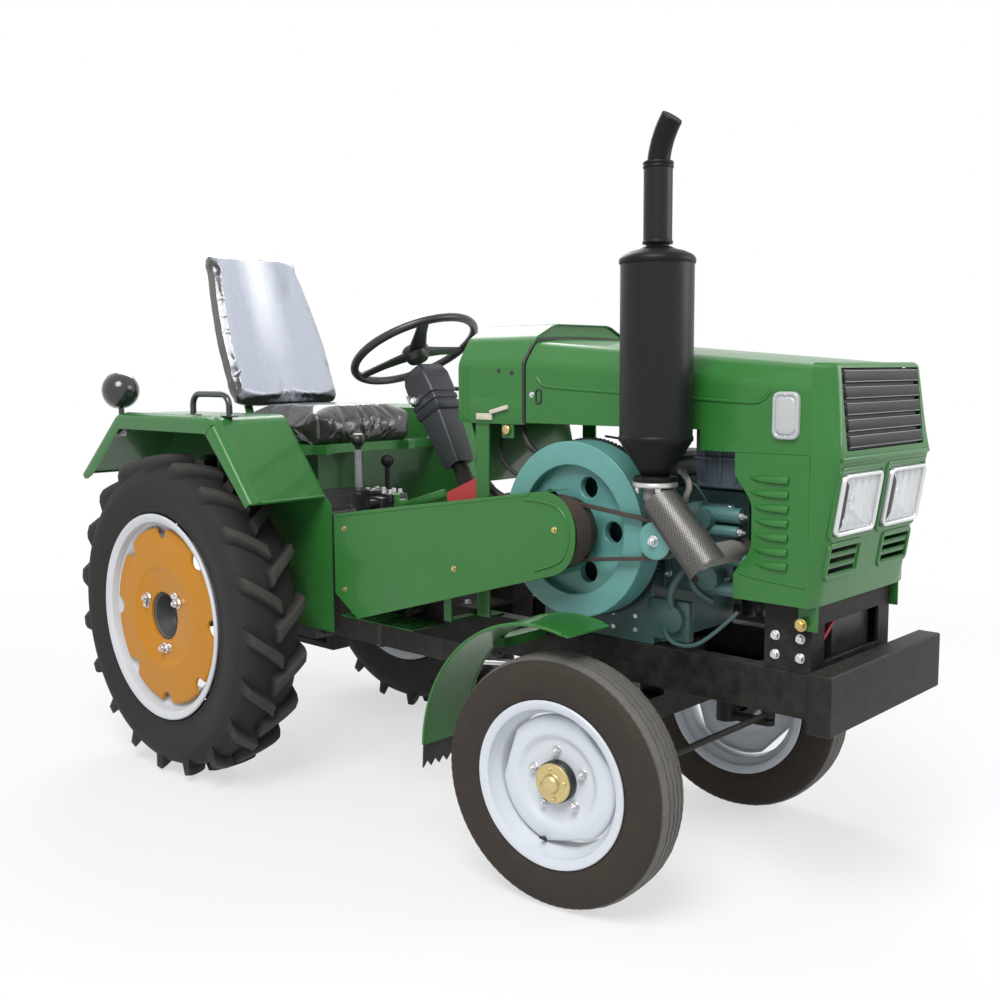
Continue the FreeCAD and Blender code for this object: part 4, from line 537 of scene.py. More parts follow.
for name, side in right_and_left:
    place = wheel_place(f"rear_{name}_spin", side)
    tyre = lathed(rear_outline, 114)
    for half_side in (1, -1):
        bar = lug(half_side)
        bmesh.ops.recalc_face_normals(bar, faces=bar.faces)
        rounded(bar, [e for e in bar.edges if e.calc_face_angle(0) > .6], .0035, 2)
        if side < 0:
            bmesh.ops.scale(bar, vec=(1, -1, 1), verts=bar.verts)
            bmesh.ops.reverse_faces(bar, faces=bar.faces[:])
        mesh = bpy.data.meshes.new("lug")
        bar.to_mesh(mesh)
        bar.free()
        for i in range(19):
            before = len(tyre.verts)
            tyre.from_mesh(mesh)
            tyre.verts.ensure_lookup_table()
            bmesh.ops.rotate(tyre, verts=tyre.verts[before:], cent=(0, 0, 0), matrix=Matrix.Rotation(
                math.tau * (i + (.5 if half_side > 0 else 0)) / 19, 3, "Z"))
        bpy.data.meshes.remove(mesh)
    made = piece(f"rear_{name}_tyre_lugged", put(tyre, place), f"rear_{name}_wheel",
                 rubber(f"rear {name} rubber", (.015, .015, .0155), (.03, .026, .022), .500, .53,
                        (.055, .052, .048), place.translation, .35), 32)
    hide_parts(f"rear_{name}_tyre")

# --- Rear wheels ----------------------------------------------------------------------------------------
# A deep silver-white rim with a heavy orange-yellow disc bolted inside it. The disc is a shallow cone with
# eight rounded notches round its edge and a wide middle hole over the grey hub.

silver_paint = finish("silver rim paint", (.60, .62, .66), .36, mottle=.06, grain=(70, .0002), dust=.14,
                      Coat_Weight=.2, Coat_Roughness=.2)
yellow_paint = finish("orange yellow paint", (.50, .20, .0025), .42, mottle=.05, grain=(90, .00025), dust=.05,
                      wear=.2, Coat_Weight=.1, Coat_Roughness=.15, Specular_IOR_Level=.25)
hub_iron = finish("hub casting", (.055, .057, .060), .5, mottle=.2, grain=(230, .0004), dust=.3)
rear_rim = [(332, 108), (335, 105), (335, 101), (331, 99), (318, 97), (313, 92), (310, 74), (296, 62),
            (274, 50),
            (271, 30), (271, -30), (274, -50), (296, -62), (310, -74), (313, -92), (318, -97), (331, -99),
            (335, -101), (335, -105), (332, -108), (324, -108), (308, -98), (304, -76), (290, -66),
            (269, -54),
            (265, -34), (265, 34), (269, 54), (290, 66), (304, 76), (308, 98), (324, 108)]
for name, side in right_and_left:
    place = wheel_place(f"rear_{name}_spin", side)
    body = f"rear_{name}_wheel"
    rim = piece(f"rear_{name}_rim", put(lathed(rear_rim, 144), place), body, silver_paint)
    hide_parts(f"rear_{name}_wheel")
    disc_face = [(r, 85 + (283 - r) * .05) for r in range(279, 238, -5)]
    disc_dish = [(205, 89), (168, 91), (160, 90), (153, 86.5), (146, 85), (84, 84), (79, 82), (79, 74),
                 (146, 76), (168, 82), (205, 80), (238, 78)]
    disc_back = [(r, 76) for r in range(244, 284, 5)]
    disc = lathed([(288, 76), (287, 81), (283, 84.5)] + disc_face + disc_dish + disc_back, 288)
    for v in disc.verts:
        radius = v.co.xy.length
        if radius > .2375:
            turn = (math.atan2(v.co.y, v.co.x) / math.tau * 8 + .5) % 1 - .5
            arc = abs(turn) * math.tau / 8 * radius
            bite = .034 * max(1 - (arc / .030) ** 2, 0) ** .5
            v.co.xy *= (.2375 + (radius - .2375) * (1 - bite / .0505)) / radius
    piece(f"rear_{name}_disc", put(disc, place), body, yellow_paint)
    hub = lathed([(77, 70), (74, 74), (70, 70), (64, 20), (58, 12), (40, 10), (38, 24), (30, 26), (0, 26),
                  (0, -40),
                  (77, -40)], 72, closed=False)
    hexes(hub, around(6, 50, 11, .2), 12, 7)
    piece(f"rear_{name}_hub", put(hub, place), body, hub_iron)
    bolts = hexes(bmesh.new(), around(3, 104, 85, .55), 24, 13, 36, 15)
    hexes(bolts, around(3, 104, 85, .80), 17, 9, 26)
    piece(f"rear_{name}_bolts", put(bolts, place), body, zinc)

# --- Front bumper ---------------------------------------------------------------------------------------
# A heavy square bar of cast iron that also weighs the front down, painted black and held on the rails'
# ends by two large zinc-plated bolts with washers.

heavy_black = finish("black casting paint", (.008, .008, .0085), .5, mottle=.10, grain=(320, .00016),
                     dust=.16,
                     wear=.5, bare=(.09, .087, .083), Specular_IOR_Level=.2)
softened("front_bumper", heavy_black, width=.005, segments=3)
bumper_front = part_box("front_bumper")[1].x
forward = Matrix.Rotation(math.radians(90), 4, "Y")
heads = hexes(bmesh.new(), [standing(bumper_front - .0135, y, .583, forward) for y in (-.2, .2)],
              26, 11, 44)
piece("bumper_bolts", heads, "chassis", zinc)

# --- Front support --------------------------------------------------------------------------------------
# A bent plate stand welded on the rails that carries the radiator, the battery and the pins on which the
# hood tilts. Two bolts on each side hold it down.

softened("front_support", black_paint, width=.0025)
to_right = Matrix.Rotation(math.radians(90), 4, "X")
to_left = Matrix.Rotation(math.radians(-90), 4, "X")
outward = ((-1, to_right), (1, to_left))
fixings = bmesh.new()
for side, turn in outward:
    hexes(fixings, [standing(x, side * .198, z, turn) for x in (1.262, 1.326) for z in (.655, .700)], 17, 8,
          24)
piece("support_bolts", fixings, "chassis", zinc)

# --- Front axle and steering ----------------------------------------------------------------------------
# A square beam with an upright eye at each end, knuckles that turn in the eyes on kingpins, and the ball
# jointed rods between them. All are forged or welded and black, apart from the plated drag link.

for node in ("front_axle", "right_knuckle", "left_knuckle", "tie_rod", "pitman_arm"):
    softened(node, heavy_black, width=.002)
softened("drag_link", zinc, width=.0015)
for name, side in right_and_left:
    x, y = joint[f"{name}_steer"]["pos_m"][:2]
    caps = lathed([(0, 12), (8, 11.5), (17, 9), (22, 5), (24, 0), (0, 0)], 40, closed=False)
    hexes(caps, [standing(0, 0, .010)], 9, 6)
    piece(f"{name}_knuckle_cap", put(caps, standing(x, y, .5005)), f"{name}_knuckle", zinc)

# --- Belt drive flywheel --------------------------------------------------------------------------------
# A cast-iron flywheel in turquoise engine paint, machined flat on the rim and cored with round holes in
# its web. The starter's ring gear is shrunk on its inner edge, and dark belt drums are bolted on its face.

turquoise = finish("turquoise engine paint", (.105, .295, .275), .40, mottle=.10, grain=(240, .00022),
                   dust=.10,
                   wear=.6, bare=(.18, .2, .19), Coat_Weight=.2, Coat_Roughness=.25)
dark_teal = finish("teal cast iron", (.030, .080, .078), .46, mottle=.22, grain=(170, .0006), dust=.35,
                   wear=.4,
                   bare=(.12, .16, .15), dust_colour=(.13, .12, .10), Coat_Weight=.15, Coat_Roughness=.3)
gear_steel = finish("oiled gear steel", (.05, .06, .06), .42, mottle=.2, grain=(200, .0002), Metallic=.7)
softened("flywheel", turquoise, width=.003, segments=3)
hub_at = Vector(joint["flywheel_spin"]["pos_m"])
fly_place = standing(hub_at.x, 0, hub_at.z, to_right)
teeth = lathed([(222, 208), (230.5, 208), (231, 209), (231, 222), (230, 223), (222, 223)], 232)
for v in teeth.verts:
    turn = math.atan2(v.co.y, v.co.x) / math.tau * 232
    if v.co.xy.length > .229 and round(turn) % 2:
        v.co.xy *= .2255 / v.co.xy.length
piece("ring_gear", put(teeth, fly_place), "flywheel", gear_steel)
drum_dark = finish("rubbed drum iron", (.035, .032, .028), .45, mottle=.3, grain=(120, .0003), dust=.2,
                   Metallic=.4)
drum = lathed([(60, 301), (85.5, 301), (86.5, 304), (86.5, 308)] + [
    point for y in (334, 349, 364) for point in ((86, y - 6), (86, y - 4.5), (78, y), (86, y + 4.5),
                                                 (86, y + 6))]
    + [(86.5, 384), (85, 389), (40, 389), (38, 384), (38, 301)], 96)
piece("belt_drum", put(drum, fly_place), "flywheel", drum_dark)
weights = hexes(bmesh.new(), around(3, 62, 389, .4), 17, 9, 26)
hexes(weights, [standing(0, 0, .380)], 46, 13, 60)
piece("flywheel_nuts", put(weights, fly_place), "flywheel", zinc)

# --- Small pulleys and belts ----------------------------------------------------------------------------
# The generator's thin pressed pulley and the grooved iron pulley on the clutch shaft, with rubber vee
# belts whose brown fabric shows on their worn sides.

softened("generator_pulley", turquoise, width=.0015)
spin_at = Vector(joint["generator_pulley_spin"]["pos_m"])
generator_place = standing(spin_at.x, 0, spin_at.z, to_right)
flange = lathed([(14, 327), (43, 327), (45, 328.5), (45, 331), (43, 332), (30, 333.5), (14, 334), (0, 334),
                 (0, 327)], 64, closed=False)
piece("generator_pulley_face", put(flange, generator_place), "generator_pulley", turquoise)
rear_flange = lathed([(20, 300.5), (45, 300.5), (45.5, 302), (45, 304), (38, 309), (20, 309)], 64)
piece("generator_pulley_back", put(rear_flange, generator_place), "generator_pulley", turquoise)
nut = hexes(bmesh.new(), [standing(0, 0, .334)], 19, 10, 28, 12)
piece("generator_nut", put(nut, generator_place), "generator_pulley", zinc)
softened("clutch_pulley", hub_iron, width=.002)
belt_fabric = finish("worn belt fabric", (.045, .030, .024), .7, mottle=.25, grain=(420, .0003), dust=.2)
softened("drive_belts", belt_fabric, width=.0012)

# --- Engine ---------------------------------------------------------------------------------------------
# A single-cylinder engine lying lengthways, cast in sections and painted dark teal. Covers, studs, an
# injection pump, fuel pipes and the filter's grey box hang on its right side, under the hood's edge.

softened("engine", dark_teal, width=.006, segments=3)


def slab(form, low, high, edge=.003, turn=None, segments=2):
    """A block between two corners with rounded edges, turned about its middle if a turn is given."""
    low, high = Vector(low), Vector(high)
    made = bmesh.ops.create_cube(form, size=1)["verts"]
    bmesh.ops.scale(form, vec=high - low, verts=made)
    if turn:
        bmesh.ops.transform(form, matrix=turn, verts=made)
    bmesh.ops.translate(form, vec=(low + high) / 2, verts=made)
    rounded(form, list({e for v in made for e in v.link_edges}), edge, segments)
    return form


def drum_of(form, at, radius, tall, segments=36, edge=.0015, taper=1):
    """A round boss standing on local Z of a place, in metres."""
    made = bmesh.ops.create_cone(form, cap_ends=True, segments=segments, radius1=radius,
                                 radius2=radius * taper,
                                 depth=tall, matrix=at @ standing(0, 0, tall / 2))["verts"]
    rounded(form, [e for e in {e for v in made for e in v.link_edges} if e.calc_face_angle(0) > .9], edge, 2)
    return form


def pipe(name, points, radius, body, material, around_it=10, order=3):
    """A round pipe on one smooth curve through the air between its two unions."""
    curve = bpy.data.curves.new(name, "CURVE")
    curve.dimensions = "3D"
    spline = curve.splines.new("NURBS")
    spline.points.add(len(points) - 1)
    for point, at in zip(spline.points, points):
        point.co = (*at, 1)
    spline.order_u = order
    spline.use_endpoint_u = True
    curve.resolution_u = 8
    curve.bevel_depth = radius
    curve.bevel_resolution = around_it // 2 - 2
    curve.use_fill_caps = True
    holder = bpy.data.objects.new(name, curve)
    form = bmesh.new()
    form.from_mesh(bpy.data.meshes.new_from_object(holder))
    bpy.data.objects.remove(holder)
    bpy.data.curves.remove(curve)
    bmesh.ops.remove_doubles(form, verts=form.verts, dist=.00005)
    bmesh.ops.recalc_face_normals(form, faces=form.faces)
    return piece(name, form, body, material, 50)


# castings bolted on the crankcase and the head
castings = bmesh.new()
slab(castings, (.93, -.172, .79), (1.13, -.148, .99), .008)
slab(castings, (.945, -.198, .925), (1.012, -.168, .975), .006)
slab(castings, (.60, -.196, .64), (.88, -.176, .70), .006)
slab(castings, (.90, -.205, .640), (1.03, -.178, .745), .010)
slab(castings, (1.152, -.130, .79), (1.172, .130, .99), .008)
slab(castings, (.93, -.12, 1.015), (1.05, .12, 1.050), .012)
for x, z, radius, tall in ((.985, .70, .034, .055), (1.085, .815, .030, .05), (1.075, .955, .024, .06)):
    drum_of(castings, standing(x, -.168, z, to_right), radius, tall)
for i in range(4):
    slab(castings, (.940 + i * .008, -.176, .80), (.943 + i * .008, -.160, .98), .001)
# the left side: the gear cover, the crankcase door, the head's cover and the starter motor
slab(castings, (.585, .176, .645), (.775, .192, .775), .014)
slab(castings, (.800, .176, .650), (.905, .200, .840), .014)
slab(castings, (.60, .176, .985), (.89, .190, 1.055), .012)
slab(castings, (.93, .146, .79), (1.14, .170, .99), .010)
slab(castings, (.60, -.15, 1.076), (.88, .15, 1.096), .010)
slab(castings, (.552, -.15, .66), (.562, .15, .96), .004)
for i in range(5):
    slab(castings, (.955 + i * .036, .150, .80), (.963 + i * .036, .178, .98), .003)
for x, z, radius, tall in ((.690, .885, .088, .030), (.690, .885, .040, .055), (.855, .920, .046, .050),
                           (1.02, .700, .036, .06)):
    drum_of(castings, standing(x, .176, z, to_left), radius, tall, 48, .004)
piece("engine_castings", castings, "chassis", dark_teal)
pump = bmesh.new()
lying = Matrix.Rotation(math.radians(90), 4, "Y")
drum_of(pump, standing(1.060, -.192, .968, lying), .019, .105)
drum_of(pump, standing(1.050, -.200, .930, lying), .013, .110)
drum_of(pump, standing(1.120, -.178, .860, lying), .016, .055)
drum_of(pump, standing(1.085, -.188, .790, lying), .017, .085)
drum_of(pump, standing(.990, -.190, .905, to_right), .021, .030)
drum_of(pump, standing(1.045, -.185, .895, to_right), .014, .040)
slab(pump, (1.005, -.215, .943), (1.058, -.176, .995), .004)
piece("fuel_pump", pump, "chassis", finish(
    "teal pump paint", (.05, .15, .145), .36, mottle=.15, grain=(200, .0003), dust=.2, wear=.7,
    bare=(.25, .27, .26), Coat_Weight=.3, Coat_Roughness=.2))
studs = hexes(bmesh.new(), [standing(x, -.172, z, to_right) for x in (.945, 1.115)
                            for z in (.805, .865, .925, .978)], 14, 9, 20, 7)
hexes(studs, [standing(x, -.196, z, to_right) for x in (.615, .705, .795, .865)
              for z in (.652, .688)], 12, 7, 18)
hexes(studs, [standing(1.165, -.200, .968, lying), standing(1.160, -.200, .93, lying),
              standing(1.172, -.188, .79, lying)], 15, 12, 0, 8)
hexes(studs, [standing(x, .192, z, to_left) for x in (.602, .68, .758) for z in (.662, .758)], 12, 7, 18)
hexes(studs, [standing(x, .200, z, to_left) for x in (.816, .889) for z in (.668, .745, .822)], 12, 7, 18)
hexes(studs, [standing(x, .190, z, to_left) for x in (.618, .70, .79, .872) for z in (.998, 1.042)], 11, 6,
      17)
hexes(studs, [standing(.690, .206, .885, to_left) @ place for place in around(8, 74, 0, .2)], 11, 6, 17)
hexes(studs, [standing(x, .170, z, to_left) for x in (.944, 1.126) for z in (.806, .89, .974)], 13, 8, 20, 7)
piece("engine_studs", studs, "chassis", zinc)
oil_filter = lathed([(0, 0), (30, 0), (38, 3), (40, 8), (40, 92), (36, 100), (20, 104), (0, 104)], 48,
                    closed=False)
piece("oil_filter", put(oil_filter, standing(.970, .205, .640)), "chassis", finish(
    "black filter can", (.010, .010, .011), .3, mottle=.05, dust=.2, Coat_Weight=.3))
starter = drum_of(bmesh.new(), standing(.590, .232, .828, lying), .038, .150, 44, .005)
drum_of(starter, standing(.735, .232, .828, lying), .030, .030, 44, .004)
drum_of(starter, standing(.600, .215, .878, lying), .019, .095, 36, .003)
slab(starter, (.718, .178, .79), (.732, .262, .876), .004)
piece("starter_motor", starter, "chassis", barrel_paint)
for name, points, radius in (
        ("branch_pipe_rear", [(1.02, -.185, .845), (1.01, -.215, .82), (.985, -.225, .77), (.985, -.215, .72),
                              (.990, -.19, .700)], .010),
        ("branch_pipe_front", [(1.02, -.185, .845), (1.035, -.215, .81), (1.06, -.220, .775),
                               (1.085, -.19, .755)], .008),
        ("oil_line", [(.94, -.185, .70), (.98, -.245, .655), (1.06, -.255, .645), (1.12, -.25, .68),
                      (1.175, -.22, .745)], .005),
        ("injector_line", [(1.07, -.19, .985), (1.07, -.225, 1.03), (1.03, -.225, 1.05), (1.00, -.19, 1.03),
                           (.99, -.16, 1.00)], .0035)):
    pipe(name, points, radius, "chassis", dark_teal)
pipe("coolant_hose", [(1.10, .12, 1.02), (1.11, .13, 1.06), (1.15, .13, 1.10), (1.21, .12, 1.12),
                      (1.245, .11, 1.12)],
     .021, "chassis", barrel_paint, 14)
pipe("oil_gauge_line", [(.855, .222, .955), (.86, .232, 1.02), (.80, .215, 1.07), (.66, .15, 1.10),
                        (.53, .10, 1.12)],
     .0035, "chassis", dark_teal)
pale_rubber = finish("pale fuel hose", (.42, .40, .35), .42, mottle=.15, dust=.1)
pipe("fuel_hose", [(1.01, -.19, .99), (1.03, -.235, 1.00), (1.055, -.245, 1.035), (1.035, -.235, 1.06),
                   (.995, -.20, 1.065)], .0075, "chassis", pale_rubber)

# --- Air cleaner ----------------------------------------------------------------------------------------
# A blow-moulded grey-blue plastic box behind the muffler with ribs on its face, strapped on the engine.

grey_box = finish("grey blue moulding", (.052, .072, .090), .38, mottle=.06, grain=(600, .00004), dust=.08)
softened("air_cleaner", grey_box, width=.012, segments=4)
ribs = bmesh.new()
for x in (1.065, 1.108, 1.151):
    slab(ribs, (x - .004, -.2045, 1.045), (x + .004, -.198, 1.165), .002)
slab(ribs, (1.038, -.2065, 1.098), (1.178, -.0785, 1.106), .002)
piece("air_cleaner_ribs", ribs, "chassis", grey_box)

# --- Muffler --------------------------------------------------------------------------------------------
# A rolled steel can with a seamed, domed top and a cone below, all in heat-proof black. A perforated
# jacket of diamond holes is wrapped round the can and round the tail pipe, which ends in a cut bend.

holes, given, made = shader_group(
    "diamond holes", {"Centre X": "Float", "Centre Y": "Float", "Radius": "Float", "Pitch": "Float"},
    {"Hole": "Float", "Height": "Float"})
spot = split(holes, object_place(holes))
turn = maths(holes, "ARCTAN2", maths(holes, "SUBTRACT", spot["Y"], given["Centre Y"]),
             maths(holes, "SUBTRACT", spot["X"], given["Centre X"]))
round_it = maths(holes, "DIVIDE", maths(holes, "MULTIPLY", turn, given["Radius"]), given["Pitch"])
up_it = maths(holes, "DIVIDE", spot["Z"], given["Pitch"])


def lattice(tree, one, other, scale):
    """How near a place is to the middle of a diamond, from two distances along the sheet."""
    waves = [maths(tree, "SINE", maths(tree, "MULTIPLY", maths(tree, way, one, other), scale))
             for way in ("ADD", "SUBTRACT")]
    return maths(tree, "ABSOLUTE", maths(tree, "MULTIPLY", *waves))


hole = ranged(holes, lattice(holes, round_it, up_it, math.pi), .30, .42)
link(holes, hole, made["Hole"])
link(holes, maths(holes, "SUBTRACT", 1, hole), made["Height"])


def perforated(name, colour, roughness, x, y, radius, pitch):
    material = finish(name, colour, roughness, mottle=.1, grain=(200, .00005), dust=.04,
                      Specular_IOR_Level=.28)
    tree = material.node_tree
    shader = tree.nodes["Principled BSDF"]
    pattern = node_of(tree, "ShaderNodeGroup", node_tree=holes, in_Centre_X=x, in_Centre_Y=y,
                      in_Radius=radius,
                      in_Pitch=pitch)
    base, normal = (shader.inputs[key].links[0].from_socket for key in ("Base Color", "Normal"))
    link(tree, mixed(tree, pattern.outputs["Hole"], base, (.003, .003, .003)), shader.inputs["Base Color"])
    link(tree, embossed(tree, pattern.outputs["Height"], .0015, 1, normal), shader.inputs["Normal"])
    return material


pipe_x, pipe_y = 1.016, -.333
heat_black = finish("heat-proof black", (.005, .005, .0055), .42, mottle=.12, grain=(260, .00012), dust=.05,
                    Specular_IOR_Level=.18)
softened("muffler", heat_black, width=.003, segments=3, smooth=45)
stack = standing(pipe_x, pipe_y, 0)
jacket = lathed([(84, 1156), (85, 1156), (85, 1556), (84, 1556)], 96)
piece("muffler_jacket", put(jacket, stack), "chassis", perforated(
    "perforated black jacket", (.011, .0115, .013), .36, pipe_x, pipe_y, .085, .0085))
seam = lathed([(82, 1552), (87, 1552), (88, 1554), (88, 1561), (86, 1566), (80, 1572), (62, 1580), (42, 1585),
               (33, 1590), (30, 1590), (30, 1570), (82, 1560)], 96)
piece("muffler_top", put(seam, stack), "chassis", heat_black)
foot = lathed([(82, 1146), (86, 1146), (87, 1149), (87, 1156), (85, 1159), (82, 1159)], 96)
piece("muffler_foot_band", put(foot, stack), "chassis", heat_black)
sleeve = lathed([(28, 1600), (33, 1600), (33, 1768), (28, 1768)], 64)
piece("tail_pipe_jacket", put(sleeve, stack), "chassis", perforated(
    "perforated tail jacket", (.013, .0135, .015), .36, pipe_x, pipe_y, .033, .0075))


def joined(form, other):
    """Adds the other form to the form."""
    mesh = bpy.data.meshes.new("joining")
    other.to_mesh(mesh)
    other.free()
    form.from_mesh(mesh)
    bpy.data.meshes.remove(mesh)


bands = bmesh.new()
for low in (1596, 1764, 1772):
    joined(bands, lathed([(26, low), (33.5, low), (35, low + 2), (35, low + 6), (33.5, low + 8),
                          (26, low + 8)], 64))
piece("tail_pipe_bands", put(bands, stack), "chassis", heat_black)
mouth = lathed([(0, 0), (24.5, 0), (24.5, 2), (0, 2)], 48, closed=False)
tip_turn, tip_bend, bend_from = math.radians(36), .190, 1.762
tip_end = Vector((pipe_x + tip_bend - tip_bend * math.cos(tip_turn), pipe_y,
                  bend_from + tip_bend * math.sin(tip_turn)))
# A near-black disc shuts the tail pipe's mouth: partly real soot, partly painted shade of the pipe's inside.
soot_and_painted_shade = finish("soot_and_painted_shade", (.004, .004, .004), .85, dust=0)
piece("tail_pipe_mouth", put(mouth, Matrix.Translation(tip_end) @ Matrix.Rotation(tip_turn, 4, "Y") @
      standing(0, 0, -.001)), "chassis", soot_and_painted_shade)

# --- Exhaust pipe ---------------------------------------------------------------------------------------
# A cast elbow between two bright flanges, bolted under the muffler, and the slanting pipe from the head
# wrapped in a wide shield of grey perforated sheet that keeps legs off the heat.

elbow_iron = finish("pale cast elbow", (.26, .25, .235), .5, mottle=.2, grain=(260, .0004), dust=.1,
                    Metallic=.35)
softened("exhaust_pipe", elbow_iron, width=.003, segments=3, smooth=50)
flanges = lathed([(20, 1040), (50, 1040), (52.5, 1042), (52.5, 1049), (51, 1051), (20, 1051)], 64)
piece("exhaust_flange", put(flanges, stack), "chassis", finish(
    "ground flange", (.55, .54, .53), .38, mottle=.1, Metallic=.8))
upside_down = Matrix.Rotation(math.pi, 4, "X")
bolts = hexes(bmesh.new(), [stack @ at @ upside_down for at in around(4, 41, 1040, .785)], 13, 9, 18, 7)
piece("exhaust_bolts", bolts, "chassis", zinc)
shield_from, shield_to = Vector((1.035, pipe_y, 1.004)), Vector((1.150, pipe_y, .878))
along = (shield_to - shield_from).normalized()
shield = bmesh.new()
bmesh.ops.create_grid(shield, x_segments=26, y_segments=30, size=.5, calc_uvs=True)
outer = Vector((0, -1, 0))
across = along.cross(outer).normalized()
length = (shield_to - shield_from).length
sheet_uv = shield.loops.layers.uv.verify()
for face in shield.faces:
    for loop in face.loops:
        loop[sheet_uv].uv = (loop.vert.co.x * .20, loop.vert.co.y * .22)
for v in shield.verts:
    swing = v.co.x * math.radians(215)
    flare = 1 + .10 * (v.co.y + .5)
    at = shield_from - along * .012 + along * ((v.co.y + .5) * (length + .036))
    v.co = at + (outer * math.cos(swing) + across * math.sin(swing)) * .044 * flare
bmesh.ops.solidify(shield, geom=shield.faces[:], thickness=.0015)
bmesh.ops.recalc_face_normals(shield, faces=shield.faces)
mesh_metal = finish("perforated grey sheet", (.17, .165, .155), .4, mottle=.2, dust=.2, Metallic=.55)
tree = mesh_metal.node_tree
shader = tree.nodes["Principled BSDF"]
sheet = split(tree, node_of(tree, "ShaderNodeUVMap").outputs["UV"])
# The holes are painted near-black: painted shade of the shield's inside in place of open holes.
hole = ranged(tree, lattice(tree, sheet[0], sheet[1], math.pi / .0065), .34, .48)
base = shader.inputs["Base Color"].links[0].from_socket
link(tree, mixed(tree, hole, base, (.008, .008, .008)), shader.inputs["Base Color"])
piece("heat_shield", shield, "chassis", mesh_metal, 60)

# --- Radiator and battery -------------------------------------------------------------------------------
# A finned copper core painted black between side tanks, and a black battery with red and blue leads that
# shows through the support's window.

fins = finish("radiator core", (.020, .021, .022), .45, mottle=.15, dust=.4)
tree = fins.node_tree
wave = maths(tree, "SINE", maths(tree, "MULTIPLY", split(tree, object_place(tree))["Z"], math.tau / .003))
link(tree, embossed(tree, wave, .001, .8), tree.nodes["Principled BSDF"].inputs["Normal"])
softened("radiator", fins, width=.004)
battery_case = finish("battery case", (.012, .012, .013), .32, mottle=.05, dust=.3)
softened("battery", battery_case, width=.004)
for y, name, colour in ((-.035, "red", (.50, .02, .015)), (.105, "blue", (.02, .06, .3))):
    post = bmesh.new()
    drum_of(post, standing(1.306, y, .748), .010, .016)
    slab(post, (1.290, y - .016, .750), (1.325, y + .016, .762), .004)
    lead = finish(f"{name} clamp cover", colour, .35, dust=.1)
    piece(f"battery_{name}_clamp", post, "chassis", lead)
pipe("battery_red_lead", [(1.318, -.035, .756), (1.336, -.038, .752), (1.338, -.07, .72), (1.336, -.12, .68),
                          (1.330, -.165, .655), (1.300, -.185, .650)], .005, "chassis",
                          finish(
    "red cable", (.35, .015, .012), .4, dust=.1))

# --- Belt cover -----------------------------------------------------------------------------------------
# A deep pressed steel box over the drive belts, enamelled green inside and out. A bead stiffens its round
# front end, and brass-coloured screws hold it on brackets behind its face.

green = finish("green enamel", (.024, .142, .026), .34, mottle=.05, grain=(26, .0006), dust=.05, wear=.12,
               bare=(.08, .20, .09), dust_colour=(.20, .22, .14), Coat_Weight=.22, Coat_Roughness=.06,
               Specular_IOR_Level=.32)
softened("belt_cover", green, width=.006, segments=3)
bead = [(.66, .990), (.722, .990), (.775, .980), (.806, .945), (.808, .89), (.79, .848), (.755, .830),
        (.70, .812)]
pipe("belt_cover_bead", [(x, -.3995, z) for x, z in bead], .0042, "chassis", green)
pipe("belt_cover_lip", [(x, -.3985, z) for x, z in ((-.085, .884), (.30, .943), (.68, 1.002))], .0035,
     "chassis",
     green)
brass = finish("brass plate", (.55, .42, .18), .3, mottle=.1, grain=(150, .00005), dust=.05, Metallic=.95)
screws = hexes(bmesh.new(), [standing(x, -.4, z, to_right) for x, z in (
    (.409, .783), (.762, .920), (-.052, .668), (-.05, .85))], 10, 5, 17)
piece("belt_cover_screws", screws, "chassis", brass)

# --- Bonnet ---------------------------------------------------------------------------------------------
# A folded sheet steel bonnet in the same green enamel, with a swage along each side and a cut-out below
# for the engine. It tilts forwards with the mask and the side panels.

softened("bonnet", green, width=.0012, crease=(14, 75, .25, .014), segments=2)
swage = [(.570, .245, 1.292), (.585, .245, 1.270), (.62, .245, 1.266), (.90, .2445, 1.252),
         (1.20, .2442, 1.236), (1.245, .244, 1.238), (1.262, .244, 1.262)]
for name, side in right_and_left:
    pipe(f"{name}_swage", [(x, side * (y - .0015), z) for x, y, z in swage], .0045, "hood",
         green)


def loft(form, loops, closed=False):
    """Skins a row of equal loops of points. The ends are capped, or joined to each other if it is closed."""
    rows = [[form.verts.new(point) for point in loop] for loop in loops]
    count = len(rows[0])
    for low, high in zip(rows, rows[1:] + rows[:1] if closed else rows[1:]):
        for i in range(count):
            form.faces.new((low[i], low[(i + 1) % count], high[(i + 1) % count], high[i]))
    if not closed:
        form.faces.new(rows[0][::-1])
        form.faces.new(rows[-1])
    bmesh.ops.recalc_face_normals(form, faces=form.faces)
    return form


def round_rect(a_low, b_low, a_high, b_high, radius, inset=0, steps=5):
    """A rectangle with round corners as (a, b) points, with all of its edges moved in."""
    radius = max(radius - inset, .0008)
    points = []
    for a, b, start in ((a_high, b_high, 0), (a_low, b_high, 90), (a_low, b_low, 180), (a_high, b_low, 270)):
        middle_a = a - math.copysign(inset + radius, a - (a_low + a_high) / 2)
        middle_b = b - math.copysign(inset + radius, b - (b_low + b_high) / 2)
        for i in range(steps + 1):
            spoke = math.radians(start + 90 * i / steps)
            points.append((middle_a + radius * math.cos(spoke), middle_b + radius * math.sin(spoke)))
    return points


keyhole = bmesh.new()
slot_loops = [(0, -.002), (0, .0022), (.0012, .003), (.0035, .003), (.0045, .0022), (.0045, -.002)]
for side in (-1, 1):
    loft(keyhole, [[(x, side * (.245 + out), z) for x, z in round_rect(.566, 1.222, .588, 1.262, .008, inset)]
                   for inset, out in slot_loops], closed=True)
dark_rubber = finish("black rubber", (.014, .014, .015), .55, mottle=.1, grain=(260, .0001), dust=.25)
piece("bonnet_slot_trim", keyhole, "hood", dark_rubber)
hexes_on_bonnet = bmesh.new()
for side, turn in outward:
    hexes(hexes_on_bonnet, [standing(.552, side * .245, 1.246, turn)], 9, 4, 16)
piece("bonnet_screws", hexes_on_bonnet, "hood", zinc)

